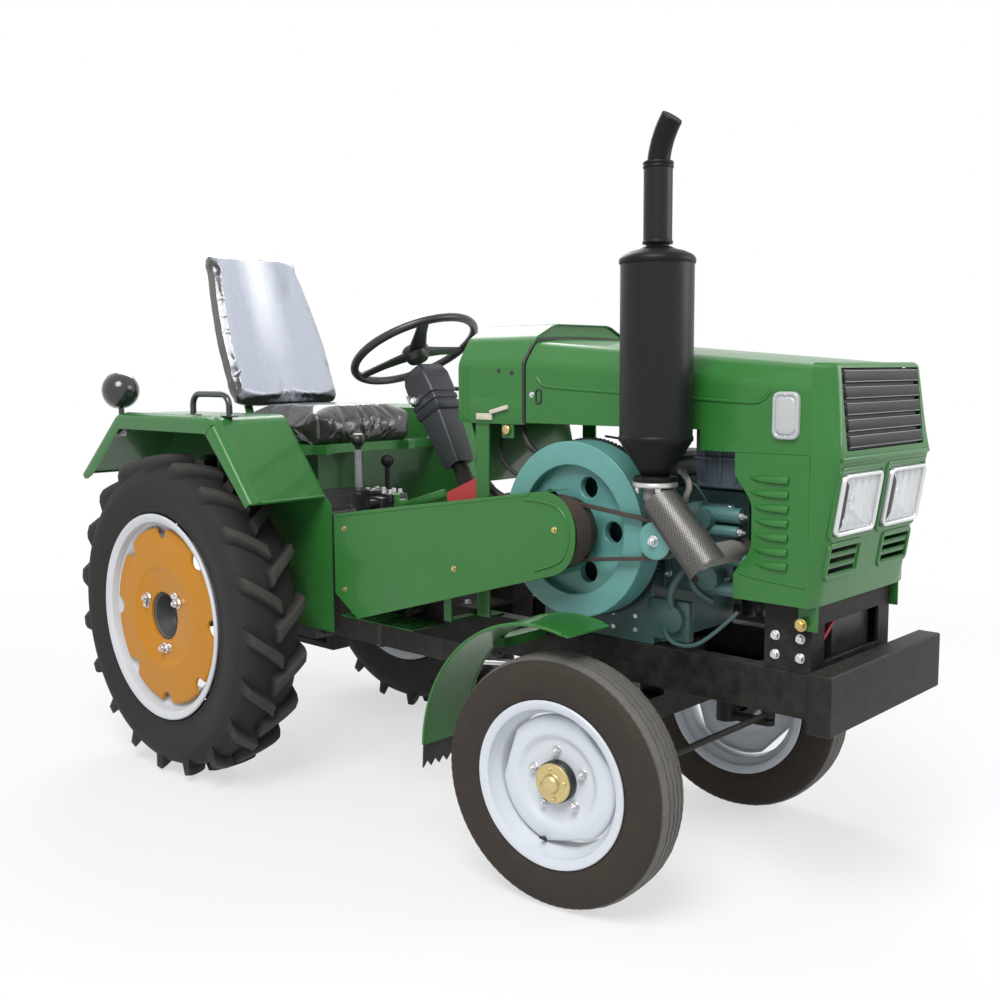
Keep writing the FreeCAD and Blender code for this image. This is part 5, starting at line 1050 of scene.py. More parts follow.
# --- Front mask -----------------------------------------------------------------------------------------
# The pressed steel front of the hood, green like the rest: the grille's opening above, a raised shelf
# below it, and a shallow framed panel for the two lamps and the cooling slots.

def mask_outline(z, radius, inset=0, back=0):
    """The mask's outline at a height, from rear edge to rear edge, with rounded front corners."""
    if z < 1.12:
        share = (z - .78) / .34
        front, half, fold = .010 + .055 * share, .205 + .029 * share, .04 + .92 * share
    else:
        share = (z - 1.12) / .206
        front, half, fold = .065 - .023 * share, .234 - .021 * share, .96 - .92 * share
    rear = Vector((1.363 - back, -.2425 + inset))
    corner = Vector((1.363 + front - inset, -half + inset))
    middle = rear.lerp(corner, fold)
    bend = min(radius, (corner - middle).length * .8 + .004)
    start = corner + (rear - corner).normalized() * bend
    line = [rear, rear.lerp(start, .5), start]
    line += [start * (1 - t) ** 2 + corner * 2 * t * (1 - t) + (corner + Vector((0, bend))) * t * t
             for t in (.2, .4, .6, .8, 1)]
    return line + [Vector((p.x, -p.y)) for p in reversed(line)]


def mask_solid(levels, back):
    return loft(bmesh.new(), [[(p.x, p.y, z + rise) for p in mask_outline(z, radius, inset, back)]
                              for z, radius, inset, rise in levels])


def beside(side, near, far):
    """The lower and the higher y of a stretch on one side of the tractor."""
    return sorted((side * near, side * far))


def cutter(form, low, high):
    made = bmesh.ops.create_cube(form, size=1)["verts"]
    bmesh.ops.scale(form, vec=Vector(high) - Vector(low), verts=made)
    bmesh.ops.translate(form, vec=(Vector(low) + Vector(high)) / 2, verts=made)


steps = [.780 + .34 * i / 10 for i in range(11)] + [1.12 + .19 * i / 6 for i in range(1, 7)]
outside = [(.780, .016, .004, 0), (.7815, .016, .0012, 0)] + [(z, .016, 0, 0) for z in steps[1:]] + [
    (1.3165, .016, .0008, 0), (1.3215, .016, .0032, 0), (1.3245, .016, .0068, 0), (1.3255, .016, .0105, 0)]
hollow = [(.770, .011, .005, 0)] + [(z, .011, .005, 0) for z in steps[1:-1]] + [(1.316, .011, .008, .004)]
tools = mask_solid(hollow, .02)
cutter(tools, (1.35, -.197, 1.132), (1.45, .197, 1.3135))
slot_heights = (.855, .879, .903)
for side in (-1, 1):
    low_y, high_y = beside(side, .024, .210)
    cutter(tools, (1.35, low_y, .945), (1.45, high_y, 1.080))
    low_y, high_y = beside(side, .070, .198)
    for z in slot_heights:
        cutter(tools, (1.35, low_y, z), (1.45, high_y, z + .012))


def cut_away(form, tools):
    """The form with the tools' shapes taken out of it."""
    pair = []
    for shape in (form, tools):
        mesh = bpy.data.meshes.new("cutting")
        bmesh.ops.recalc_face_normals(shape, faces=shape.faces)
        shape.to_mesh(mesh)
        shape.free()
        pair.append(bpy.data.objects.new("cutting", mesh))
        bpy.context.scene.collection.objects.link(pair[-1])
    taking = pair[0].modifiers.new("holes", "BOOLEAN")
    taking.object, taking.solver, taking.use_self = pair[1], "EXACT", True
    left = bmesh.new()
    left.from_mesh(pair[0].evaluated_get(bpy.context.evaluated_depsgraph_get()).data)
    for holder in pair:
        mesh = holder.data
        bpy.data.objects.remove(holder)
        bpy.data.meshes.remove(mesh)
    return left


mask = cut_away(mask_solid(outside, 0), tools)
for y in (-.2065, .2065):
    slab(mask, (1.3235, y - .003, .7225), (1.3725, y + .003, .832), .0025)
mask = piece("mask_pressing", mask, "hood", green, 32)
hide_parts("front_mask")


def on_front(y, z, proud):
    """A point on the mask's front face, moved out of it."""
    if z > 1.12:
        lean = math.atan(.1117)
        return Vector((1.428 - (z - 1.12) * .1117 + proud * math.cos(lean), y, z + proud * math.sin(lean)))
    lean = math.atan(.1618)
    return Vector((1.428 - (1.12 - z) * .1618 + proud * math.cos(lean), y, z - proud * math.sin(lean)))


def raised(form, low, high, radius, section, closed=False):
    """A raised shape on the mask's front, from a section of (inset, proud) round a rectangle of (y, z)."""
    return loft(form, [[on_front(y, z, proud) for y, z in round_rect(*low, *high, radius, inset)]
                       for inset, proud in section], closed)


shelf = raised(bmesh.new(), (-.226, 1.1085), (.226, 1.1195), .004,
               [(0, -.003), (0, .003), (.0015, .0048), (.0035, .0055)])
lamp_panel = [(0, -.003), (0, .0012), (.0015, .0032), (.004, .004), (.009, .004), (.0125, .0025),
              (.0135, -.003)]
for y_low, y_high in ((-.222, -.006), (.006, .222)):
    raised(shelf, (y_low, .930), (y_high, 1.098), .020, lamp_panel, closed=True)
for y_low, y_high in ((-.212, -.050), (.050, .212)):
    raised(shelf, (y_low, .840), (y_high, .927), .016, lamp_panel, closed=True)
piece("mask_shelf", shelf, "hood", green)
lips = bmesh.new()
for y in (-.134, .134):
    for z in slot_heights:
        raised(lips, (y - .062, z - .0035), (y + .062, z + .0005), .0015,
               [(0, -.003), (0, .0012), (.001, .0028), (.0018, .0032)])
piece("slot_lips", lips, "hood", green)

# --- Grille ---------------------------------------------------------------------------------------------
# A black moulded grille of five broad rounded slats, whose upper and lower edges are picked out in grey,
# clipped in the mask's opening in front of the radiator.

grille_black = finish("grille plastic", (.004, .0042, .0045), .45, mottle=.1, grain=(300, .00006), dust=.06,
                       Specular_IOR_Level=.25)
grille_edge = finish("grille edge grey", (.26, .27, .28), .35, mottle=.1, grain=(300, .00004), dust=.1)
slats = bmesh.new()
raised(slats, (-.196, 1.133), (.196, 1.313), .010, [(0, -.022), (0, -.010), (.001, -.009)])
slat_edges = bmesh.new()
for i in range(5):
    middle = 1.1515 + i * .0358
    raised(slats, (-.194, middle - .0142), (.194, middle + .0142), .0135,
           [(0, -.012), (0, -.002), (.0012, .001), (.0035, .0030), (.0065, .0038)])
    for edge in (-.0118, .0118):
        raised(slat_edges, (-.186, middle + edge - .0012), (.186, middle + edge + .0012), .001,
               [(0, -.001), (0, .0026), (.0006, .0033)])
grille = piece("grille_slats", slats, "hood", grille_black)
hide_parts("grille")
piece("grille_edges", slat_edges, "hood", grille_edge)

# --- Headlights -----------------------------------------------------------------------------------------
# Two rectangular lamps with silvered bowls and clear ribbed glass in bright plated frames, which stand
# proud of the mask and are clipped in it from behind.

lamp_chrome = finish("lamp frame plate", (.70, .71, .72), .30, mottle=.04, grain=(90, .0001), dust=.05,
                     Metallic=.9)
bowl_silver = finish("lamp bowl silver", (.82, .83, .84), .30, mottle=.06, grain=(55, .0012), dust=.0,
                     Metallic=.75)
glass = bpy.data.materials.new("ribbed lamp glass")
glass.use_nodes = True
tree = glass.node_tree
shader = tree.nodes["Principled BSDF"]
for key, value in (("Base Color", (.95, .97, .98, 1)), ("Roughness", .04), ("IOR", 1.45),
                   ("Transmission Weight", 1), ("Coat Weight", .5)):
    shader.inputs[key].default_value = value
ribs = node_of(tree, "ShaderNodeTexWave", wave_type="BANDS", bands_direction="Y", in_Scale=9)
link(tree, object_place(tree), ribs.inputs["Vector"])
link(tree, embossed(tree, ribs.outputs["Fac"], .0004, .5), shader.inputs["Normal"])
for name, side in right_and_left:
    low, high = zip(beside(side, .022, .212), (.943, 1.083))
    surround = raised(bmesh.new(), low, high, .018,
                      [(0, -.006), (0, .009), (.001, .0115), (.0025, .0125), (.0065, .0125), (.009, .011),
                       (.0105, .008), (.011, .002), (.011, -.006)], closed=True)
    shown = piece(f"{name}_lamp_frame", surround, "hood", lamp_chrome)
    if side < 0:
        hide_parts("headlights")
    bowl = raised(bmesh.new(), low, high, .018,
                  [(.046, -.036), (.036, -.033), (.022, -.018), (.0135, .003), (.0120, .003), (.018, -.020),
                   (.032, -.036), (.042, -.039)])
    piece(f"{name}_lamp_bowl", bowl, "hood", bowl_silver)
    pane = raised(bmesh.new(), low, high, .018,
                  [(.0115, .004), (.0108, .0055), (.0108, .0075), (.018, .0098), (.034, .0112),
                   (.055, .0118)])
    piece(f"{name}_lamp_glass", pane, "hood", glass)
    bulb = bmesh.new()
    drum_of(bulb, Matrix.Translation(on_front(side * .117, 1.012, -.036)) @ forward, .009, .026, 20, .003)
    drum_of(bulb, Matrix.Translation(on_front(side * .117, 1.012, -.037)) @ forward, .016, .010, 20, .001)
    piece(f"{name}_lamp_bulb", bulb, "hood", lamp_chrome)

# --- Side panels ----------------------------------------------------------------------------------------
# Flat green panels screwed behind the mask's edges, each with seven pressed louvres that taper backwards
# to a point, and a step along the lower edge.

softened("side_panels", green, width=.0015)
louvres = bmesh.new()
top_louvre, louvre_pitch, end = 1.066, .0325, 1.3135
for side in (-1, 1):
    for i in range(7):
        z = top_louvre - i * louvre_pitch
        rim = 1.220 - max(0, z - .990) * .575 if z > .915 else 1.215
        tip = max(1.213 + (top_louvre - z) * .09, rim + .010)
        sections = []
        for x, tall, out in ((end + .0006, .0085, .001), (end, .0102, .0075), (end - .004, .0105, .0088),
                             (end - .03, .0105, .0088), (tip + (end - tip) * .45, .0100, .0080),
                             (tip + (end - tip) * .2, .0072, .0052), (tip + .004, .003, .0016),
                             (tip, .0008, .0002)):
            sections.append([(x, side * (.2425 + o * out + .0025 * (o > 0)), z + t * tall) for t, o in (
                (-1, -.1), (-1, .35), (-.72, .85), (-.3, 1), (.25, .82), (.7, .42), (1, 0), (1, -.1))])
        loft(louvres, sections)
piece("louvres", louvres, "hood", green)
crease = [(1.190, .845), (1.215, .838), (1.30, .832), (1.360, .829)]
for name, side in right_and_left:
    pipe(f"{name}_crease", [(x, side * .2440, z) for x, z in crease], .0035, "hood", green)
ears = bmesh.new()
hinge_at = Vector(joint["hood_hinge"]["pos_m"])
for side, turn in outward:
    hexes(ears, [standing(hinge_at.x, side * .221, hinge_at.z, turn)], 19, 9, 30)
piece("hinge_bolts", ears, "hood", brass)

# --- Marker lamps ---------------------------------------------------------------------------------------
# A pale plastic position lamp on each side of the bonnet, behind the mask: a smoky lens with a raised
# border and two small screws.

lamp_plastic = finish("pale lamp lens", (.46, .48, .49), .22, mottle=.08, grain=(210, .0003), dust=.1,
                      Transmission_Weight=.15, Coat_Weight=.6, Coat_Roughness=.08)
for name, side in right_and_left:
    lens = bmesh.new()
    for area, section in (
            ((1.271, 1.156, 1.337, 1.262), [(0, -.002), (0, .006), (.0012, .0085), (.003, .0095),
                                            (.0065, .0095),
                                            (.0085, .0072), (.010, .0066)]),
            ((1.2785, 1.1665, 1.3295, 1.2515), [(0, .004), (0, .0080), (.0015, .0098), (.004, .0108),
                                                (.010, .0114)])):
        loft(lens, [[(x, side * (.2432 + out), z) for x, z in round_rect(*area, .018, inset)]
                    for inset, out in section])
    piece(f"{name}_marker_lamp", lens, "hood", lamp_plastic)
    held = hexes(bmesh.new(), [standing(1.304, side * .2505, z) @ (to_right if side < 0 else to_left)
                               for z in (1.1625, 1.2555)], 4, 3, 6.5)
    piece(f"{name}_marker_screws", held, "hood", zinc)

# --- Cowl -----------------------------------------------------------------------------------------------
# The green cowl over the steering gear and the tank: pressed sheet with upright ribs at its rear edge and
# a black rubber strip where the bonnet meets it. It stands on two legs that rise from the rails.

softened("cowl", green, width=.0014, crease=(14, 75, .2, .016))
skirts, painted_hole_shade = bmesh.new(), bmesh.new()
rib = ((-.005, 0), (-.003, .0028), (0, .0040), (.003, .0028), (.005, 0), (0, -.002))
for side, turn in outward:
    low_y, high_y = beside(side, .2412, .2455)
    slab(skirts, (.279, low_y, 1.166), (.526, high_y, 1.236), .001)
    for x in (.289, .303, .317):
        loft(skirts, [[(x + a, side * (.2440 + b), z) for a, b in rib] for z in (1.176, 1.19, 1.30, 1.322)])
    # Dark discs on each side stand in for open holes: painted shade of the holes' insides.
    for x, z in ((.433, 1.310), (.481, 1.304)):
        drum_of(painted_hole_shade, standing(x, side * .2445, z, turn), .0062, .0013, 20, .0003)
edge = [(-.241, 1.172), (-.241, 1.327), (-.197, 1.396), (-.119, 1.4315), (.119, 1.4315), (.197, 1.396),
        (.241, 1.327), (.241, 1.172)]
inner = [(-.216, 1.172), (-.216, 1.315), (-.182, 1.362), (-.10, 1.373), (.10, 1.373), (.182, 1.362),
         (.216, 1.315), (.216, 1.172)]
loft(skirts, [[(.5215, *a), (.5215, *b), (.5175, *b), (.5175, *a)] for a, b in zip(edge, inner)])
loft(skirts, [[(x, y, z), (x + .003, y, z + .001), (x + .003, -y, z + .001), (x, -y, z)]
              for x, y, z in ((.282, -.215, 1.226), (.296, -.213, 1.16), (.345, -.20, 1.00))])
piece("cowl_skirts", skirts, "chassis", green)
piece("cowl_painted_hole_shade", painted_hole_shade, "chassis", dark_rubber)
seam = [(-.245, 1.172), (-.2452, 1.25), (-.2452, 1.322), (-.2440, 1.334), (-.203, 1.385), (-.196, 1.390),
        (-.16, 1.393),
        (-.10, 1.3965), (0, 1.397), (.10, 1.3965), (.16, 1.393), (.196, 1.390), (.203, 1.385), (.2440, 1.334),
        (.2452, 1.322), (.2452, 1.25), (.245, 1.172)]
pipe("bonnet_seal", [(.5245, y, z) for y, z in seam], .0052, "chassis", dark_rubber)
latch_cream = finish("cream latch paint", (.52, .50, .40), .45, mottle=.1, dust=.2)
latches = slab(bmesh.new(), (.404, -.2555, 1.199), (.472, -.2450, 1.211), .0025,
               Matrix.Rotation(math.radians(-14), 4, "Y"))
slab(latches, (.352, -.2525, 1.176), (.412, -.2455, 1.194), .002)
piece("hood_latch", latches, "chassis", latch_cream)
cap = lathed([(0, 0), (13, 0), (14, 2), (14, 9), (12, 11), (6, 13), (0, 13)], 32, closed=False)
piece("drain_cap", put(cap, standing(.462, -.2415, 1.150, to_right)), "chassis", brass)
slabs = slab(bmesh.new(), (.44, -.2415, 1.128), (.484, -.2375, 1.20), .0012)
piece("drain_cap_bracket", slabs, "chassis", green)
for i, way in enumerate((((.30, -.16, 1.15), (.27, -.17, 1.06), (.33, -.19, .98), (.45, -.17, .93),
                          (.60, -.11, .96)),
                         ((.34, -.12, 1.15), (.36, -.17, 1.09), (.42, -.20, 1.04), (.50, -.18, 1.0),
                          (.64, -.13, 1.0)),
                         ((.47, -.20, 1.18), (.50, -.215, 1.13), (.53, -.21, 1.09), (.60, -.15, 1.03)))):
    pipe(f"cowl_hose_{i + 1}", way, (.011, .006, .008)[i], "chassis", dark_rubber)

# --- Steering column ------------------------------------------------------------------------------------
# A bolted gear case on the rails with the tube of the column, and round its top a moulded black shroud in
# two shells: a broad upper box with two grooves and the key switch, and a lower box that tapers.

column = softened("steering_column", black_paint, width=.004)
column_place = standing(.253, 0, .6225) @ Matrix.Rotation(math.radians(-29), 4, "Y")
form = bmesh.new()
form.from_mesh(column.data)
form.normal_update()
bmesh.ops.bisect_plane(form, geom=form.verts[:] + form.edges[:] + form.faces[:], dist=.00001,
                       plane_co=column_place @ Vector((0, 0, .425)),
                       plane_no=column_place.to_3x3() @ Vector((0, 0, 1)), clear_outer=True)
bmesh.ops.holes_fill(form, edges=[e for e in form.edges if e.is_boundary])
form.to_mesh(column.data)
form.free()
tube = drum_of(bmesh.new(), column_place @ standing(0, 0, .42), .025, .365, 40, .002)
piece("column_tube", tube, "chassis", black_paint)
shroud_black = finish("shroud plastic", (.022, .024, .030), .42, mottle=.06, grain=(420, .00012), dust=.12)
shroud = bmesh.new()
for sections, radius in (
        (((.452, .034, .038), (.470, .037, .041), (.625, .046, .046), (.640, .045, .045)), .008),
        (((.628, .052, .048), (.634, .056, .052), (.652, .057, .053), (.656, .0535, .0495),
          (.660, .0535, .0495),
          (.664, .0575, .0535), (.676, .0575, .0535), (.680, .054, .050), (.684, .054, .050),
          (.688, .058, .054),
          (.755, .054, .056), (.784, .044, .052), (.790, .038, .046)), .012)):
    loft(shroud, [[column_place @ Vector((a, b, along))
                   for a, b in round_rect(-deep, -wide, deep, wide, radius)] for along, deep,
                   wide in sections])
piece("column_shroud", shroud, "chassis", shroud_black)
switch = drum_of(bmesh.new(), column_place @ standing(-.023, -.050, .690) @ to_right, .013, .018, 28, .002)
drum_of(switch, column_place @ standing(-.023, -.066, .690) @ to_right, .010, .006, 28, .001)
piece("key_switch", switch, "chassis", zinc)
key = slab(bmesh.new(), (-.0012, -.012, -.008), (.0012, .012, .020), .0008)
put(key, column_place @ standing(-.023, -.080, .688))
piece("switch_key", key, "chassis", zinc)
gear_bolts = bmesh.new()
hexes(gear_bolts, [standing(x, y, .628) for x in (.222, .284) for y in (-.16, .16)], 17, 8, 26)
piece("gear_bolts", gear_bolts, "chassis", zinc)

# --- Steering wheel -------------------------------------------------------------------------------------
# A moulded black wheel with a thick grip, three broad spokes that narrow towards the rim and a domed cap
# over the nut on the shaft.

grip = finish("wheel grip", (.014, .014, .015), .38, mottle=.06, grain=(500, .00012), dust=.06,
              Coat_Weight=.15)
wheel_at = column_place @ standing(0, 0, .8498)
wheel = lathed([(203 + 13.2 * math.cos(math.tau * i / 18), 12 + 13.2 * math.sin(math.tau * i / 18))
                for i in range(18)], 112)
for i in range(3):
    turn = Matrix.Rotation(math.radians(120 * i + 90), 4, "Z")
    loft(wheel, [[turn @ Vector((out, a * wide, mid + b * thick)) for a, b in (
        (-1, -.4), (-.8, -1), (.8, -1), (1, -.4), (1, .4), (.8, 1), (-.8, 1), (-1, .4))]
        for out, wide, thick, mid in ((.020, .033, .010, .002), (.060, .027, .0075, .006),
                                      (.120, .021, .0060, .010),
                                      (.180, .0185, .0060, .012), (.196, .024, .0085, .012),
                                      (.204, .026, .009, .012))])
hub = lathed([(0, -28), (30, -28), (34, -24), (43, 2), (45, 8), (44, 15), (38, 22), (26, 27), (12, 29),
              (0, 29.5)], 56,
             closed=False)
joined(wheel, hub)
wheel = piece("steering_wheel_grip", put(wheel, wheel_at), frame["nodes"]["steering_wheel"]["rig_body"],
              grip)
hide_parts("steering_wheel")

# --- Levers and pedals ----------------------------------------------------------------------------------
# The gear lever in a ribbed rubber boot with a pale-topped knob, a shorter lift lever behind the hydraulic
# valve block, and two pedals on a shaft ahead of the platforms.

softened("controls", black_paint, width=.002)
lever_x, lever_y = -.337, -.100
boots = put(lathed([(0, 0), (40, 0), (42, 3), (36, 9), (38, 14), (31, 20), (33, 26), (25, 33), (27, 39),
                    (19, 47),
                    (20, 52), (13, 60), (11, 66), (0, 66)], 40, closed=False),
                    standing(lever_x, lever_y, .868))
knobs = lathed([(0, -26), (10, -25), (13, -18), (21, -6), (24, 4), (22, 13), (15, 19), (0, 21)], 36,
               closed=False)
put(knobs, standing(lever_x, lever_y, 1.084))
piece("lever_knob", knobs, "chassis", grip)
piece("lever_boot", boots, "chassis", dark_rubber)
pale_cap = put(lathed([(0, 18), (15, 18), (16, 20), (12, 23), (0, 24)], 32, closed=False),
               standing(lever_x, lever_y, 1.084))
piece("knob_cap", pale_cap, "chassis", latch_cream)
wrap_grey = finish("grey lever wrap", (.22, .22, .23), .4, mottle=.3, grain=(90, .002), dust=.1)
pipe("lever_wrap", ((-.337, -.100, .93), (-.336, -.101, .98), (-.338, -.100, 1.03), (-.337, -.100, 1.055)),
     .0125,
     "chassis", wrap_grey)
valve_block = slab(bmesh.new(), (-.30, -.17, .868), (-.14, -.06, .915), .006)
slab(valve_block, (-.26, -.165, .905), (-.20, -.085, .935), .008)
slab(valve_block, (-.18, -.15, .895), (-.12, -.08, .925), .006)
drum_of(valve_block, standing(-.17, -.17, .895, to_right), .014, .03, 24, .002)
piece("valve_block", valve_block, "chassis", barrel_paint)
spool_places = [standing(x, y, .925) for x in (-.245, -.215, -.165, -.135) for y in (-.14, -.10)]
spools = hexes(bmesh.new(), spool_places, 13, 12, 19)
slab(spools, (-.235, -.166, .880), (-.165, -.160, .905), .002)
piece("valve_unions", spools, "chassis", zinc)
rods = slab(bmesh.new(), (-.02, -.196, .915), (.17, -.186, .940), .003,
            Matrix.Rotation(math.radians(-16), 4, "Y"))
slab(rods, (-.06, -.192, .80), (-.04, -.184, .935), .002)
drum_of(rods, standing(-.02, -.182, .905, to_right), .018, .026, 28, .002)
piece("clutch_lever", rods, "chassis", green)
red_paint = finish("red guard paint", (.42, .018, .018), .35, mottle=.05, dust=.1, Coat_Weight=.3)
guard = loft(bmesh.new(), [[(x, y, z) for x, z in ((.196, .935), (.345, .935), (.348, .940), (.348, 1.018),
                                                   (.343, 1.021),
                                                   (.196, .960))] for y in (-.214, -.2105)])
slab(guard, (.196, -.2135, .932), (.348, -.165, .936), .001)
piece("red_guard", guard, "chassis", red_paint)

# --- Foot platforms -------------------------------------------------------------------------------------
# Plates of green sheet beside the gearbox with rows of raised ribs to grip boots.

softened("foot_platform", green, width=.001)
treads = bmesh.new()
for side in (-1, 1):
    low_y, high_y = beside(side, .222, .310)
    for i in range(9):
        x = -.14 + i * .033
        slab(treads, (x, low_y, .5635), (x + .010, high_y, .5665), .0012)
piece("platform_treads", treads, "chassis", green)

# --- Fenders --------------------------------------------------------------------------------------------
# Rear fenders of pressed sheet: a broad top with a bead beside its outer edge and a turned-down lip, and
# an upright wall with an arch for the axle, all one green weldment.


def rounded_path(points, radius, steps=6):
    """A flat line of straights with its corners rounded."""
    line = [Vector(p) for p in points]
    path = [line[0]]
    for before, corner, after in zip(line, line[1:], line[2:]):
        into, out = (corner - before).normalized(), (after - corner).normalized()
        turn = into.angle_signed(out)
        start = corner - into * radius * math.tan(abs(turn) / 2)
        centre = start + Vector((into.y, -into.x)) * math.copysign(radius, turn)
        for i in range(steps + 1):
            spoke = start - centre
            spoke.rotate(Matrix.Rotation(-turn * i / steps, 2))
            path.append(centre + spoke)
    return path + [line[-1]]


for name, side in right_and_left:
    path = rounded_path(((-1.222, .965), (-.972, 1.175), (-.422, 1.175), (-.222, .930)), .060)
    inward = (path[1] - path[0]).normalized()
    close_sections = [path[0] + inward * run for run in (.006, .020, .050)]
    path = path[:1] + close_sections + path[1:-1] + [path[-2]] * 3 + path[-1:]
    shape = [(.331, 0), (.560, 0), (.5655, .0012), (.570, .0032), (.5745, .0038), (.579, .0032),
             (.5835, .0012),
             (.589, 0)]
    shape += [(.594 + .016 * math.sin(math.radians(a)), .016 * math.cos(math.radians(a)) - .016)
              for a in range(0, 91, 15)]
    shape += [(.610, -.046), (.6085, -.0500), (.6065, -.0495), (.6060, -.046), (.606, -.016), (.602, -.0075),
              (.594, -.004), (.331, -.004)]
    loops = []
    for i, at in enumerate(path):
        along = (path[min(i + 1, len(path) - 1)] - path[max(i - 1, 0)]).normalized()
        out = Vector((-along.y, along.x))
        run_out = min((at - path[0]).length, (at - path[-1]).length)
        full = .30 + .70 * min(1, run_out / .05) ** .5
        loops.append([(at.x + out.x * h, side * y, at.y + out.y * h) for y, h in (
            (y, h if h > -.02 else -.016 + (h + .016) * full) for y, h in shape)])
    shell = loft(bmesh.new(), loops)
    cad = bmesh.new()
    cad.from_mesh(frame["nodes"][f"{name}_fender"].data)
    bmesh.ops.remove_doubles(cad, verts=cad.verts, dist=.00001)
    bmesh.ops.dissolve_limit(cad, angle_limit=math.radians(1), verts=cad.verts, edges=cad.edges)
    wall = max((f for f in cad.faces if abs(f.normal.y) > .99 and abs(f.calc_center_median().y) < .333),
               key=lambda f: f.calc_area())
    outline = [(v.co.x, v.co.z) for v in wall.verts]
    cad.free()
    loft(shell, [[(x, side * y, min(z, 1.173)) for x, z in outline] for y in (.330, .334)])
    shown = piece(f"{name}_fender_pressing", shell, "chassis", green, 30)
    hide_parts(f"{name}_fender")
    for edge_name, end, inset in (("roll", path[0], .001), ("nose", path[-1], -.002)):
        edge_line = [(end.x + inset, side * y, end.y - .003) for y in (.334, .45, .56, .602)]
        pipe(f"{name}_fender_{edge_name}", edge_line, .0045, "chassis", green)

# --- Grab handles ---------------------------------------------------------------------------------------
# Bent steel tube in glossy black, with flattened feet screwed on the fenders' tops.

gloss_black = finish("glossy black paint", (.012, .012, .014), .22, mottle=.05, dust=.06, Coat_Weight=.6,
                     Coat_Roughness=.06)
handle_y = .530
for name, side in right_and_left:
    path = rounded_path(((-.627, 1.172), (-.627, 1.242), (-.427, 1.242), (-.427, 1.172)), .038, 8)
    handle = pipe(f"{name}_handle", [(p.x, side * handle_y, p.y) for p in path], .0098, "chassis",
                  gloss_black, 14, 3)
    if side < 0:
        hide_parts("grab_handles")
    feet = bmesh.new()
    for x in (-.627, -.427):
        slab(feet, (x - .026, side * handle_y - .015, 1.1745), (x + .026, side * handle_y + .015, 1.1785),
             .0015)
    piece(f"{name}_handle_feet", feet, "chassis", gloss_black)
    held = hexes(bmesh.new(), [standing(x + out, side * handle_y, 1.178) for x in (-.627, -.427)
                               for out in (-.018, .018)], 8, 4)
    piece(f"{name}_handle_screws", held, "chassis", zinc)

# --- Rear lamp ------------------------------------------------------------------------------------------
# A round work lamp that faces backwards, in a glossy black bowl on a short stalk, with a plated rim and
# clear glass.

backward = Matrix.Rotation(math.radians(-90), 4, "Y")
lamp_x, lamp_y = -1.022, -.560
lamp_at = standing(lamp_x, lamp_y, 1.250, backward)
shell = [(61.5 * math.cos(math.radians(a)), 61.5 * math.sin(math.radians(a))) for a in range(-90, 16, 7)]
bowl = lathed([(0, -61.5)] + shell[1:] + [(60.5, 14), (57, 14), (50, -6), (30, -26), (0, -34)], 72,
              closed=False)
shown = piece("rear_lamp_bowl", put(bowl, lamp_at), "chassis", gloss_black)
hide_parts("rear_lamp")
rim = lathed([(54, 12), (61, 11), (62, 13), (61.5, 17), (59, 18), (54, 17.5)], 72)
piece("rear_lamp_rim", put(rim, lamp_at), "chassis", lamp_chrome)
pane = lathed([(0, 15.5), (40, 14.6), (55, 13), (55, 14.5), (40, 16.5), (0, 17.6)], 72, closed=False)
piece("rear_lamp_glass", put(pane, lamp_at), "chassis", glass)
stalk = drum_of(bmesh.new(), standing(lamp_x, lamp_y, 1.124), .0095, .075, 24, .001)
slab(stalk, (-1.055, -.585, 1.115), (-.985, -.535, 1.121), .0015, Matrix.Rotation(math.radians(-40), 4, "Y"))
piece("rear_lamp_stalk", stalk, "chassis", gloss_black)

# --- Seat frame -----------------------------------------------------------------------------------------
# Green square tube across the fenders' walls and under the cushion, on a folded pedestal bolted to the
# gearbox, with two flat uprights behind the backrest.

softened("seat_frame", green, width=.003)
seat_bolts = bmesh.new()
for side in (-1, 1):
    hexes(seat_bolts, [standing(x, side * .320, 1.070) for x in (-.822, -.437)], 13, 7, 22)
upright_x, upright_lean = -.8977, Matrix.Rotation(math.radians(68), 4, "Y")
hexes(seat_bolts, [standing(upright_x, y, 1.245, upright_lean) for y in (-.145, .145)], 13, 6, 20)
piece("seat_bolts", seat_bolts, "chassis", zinc)
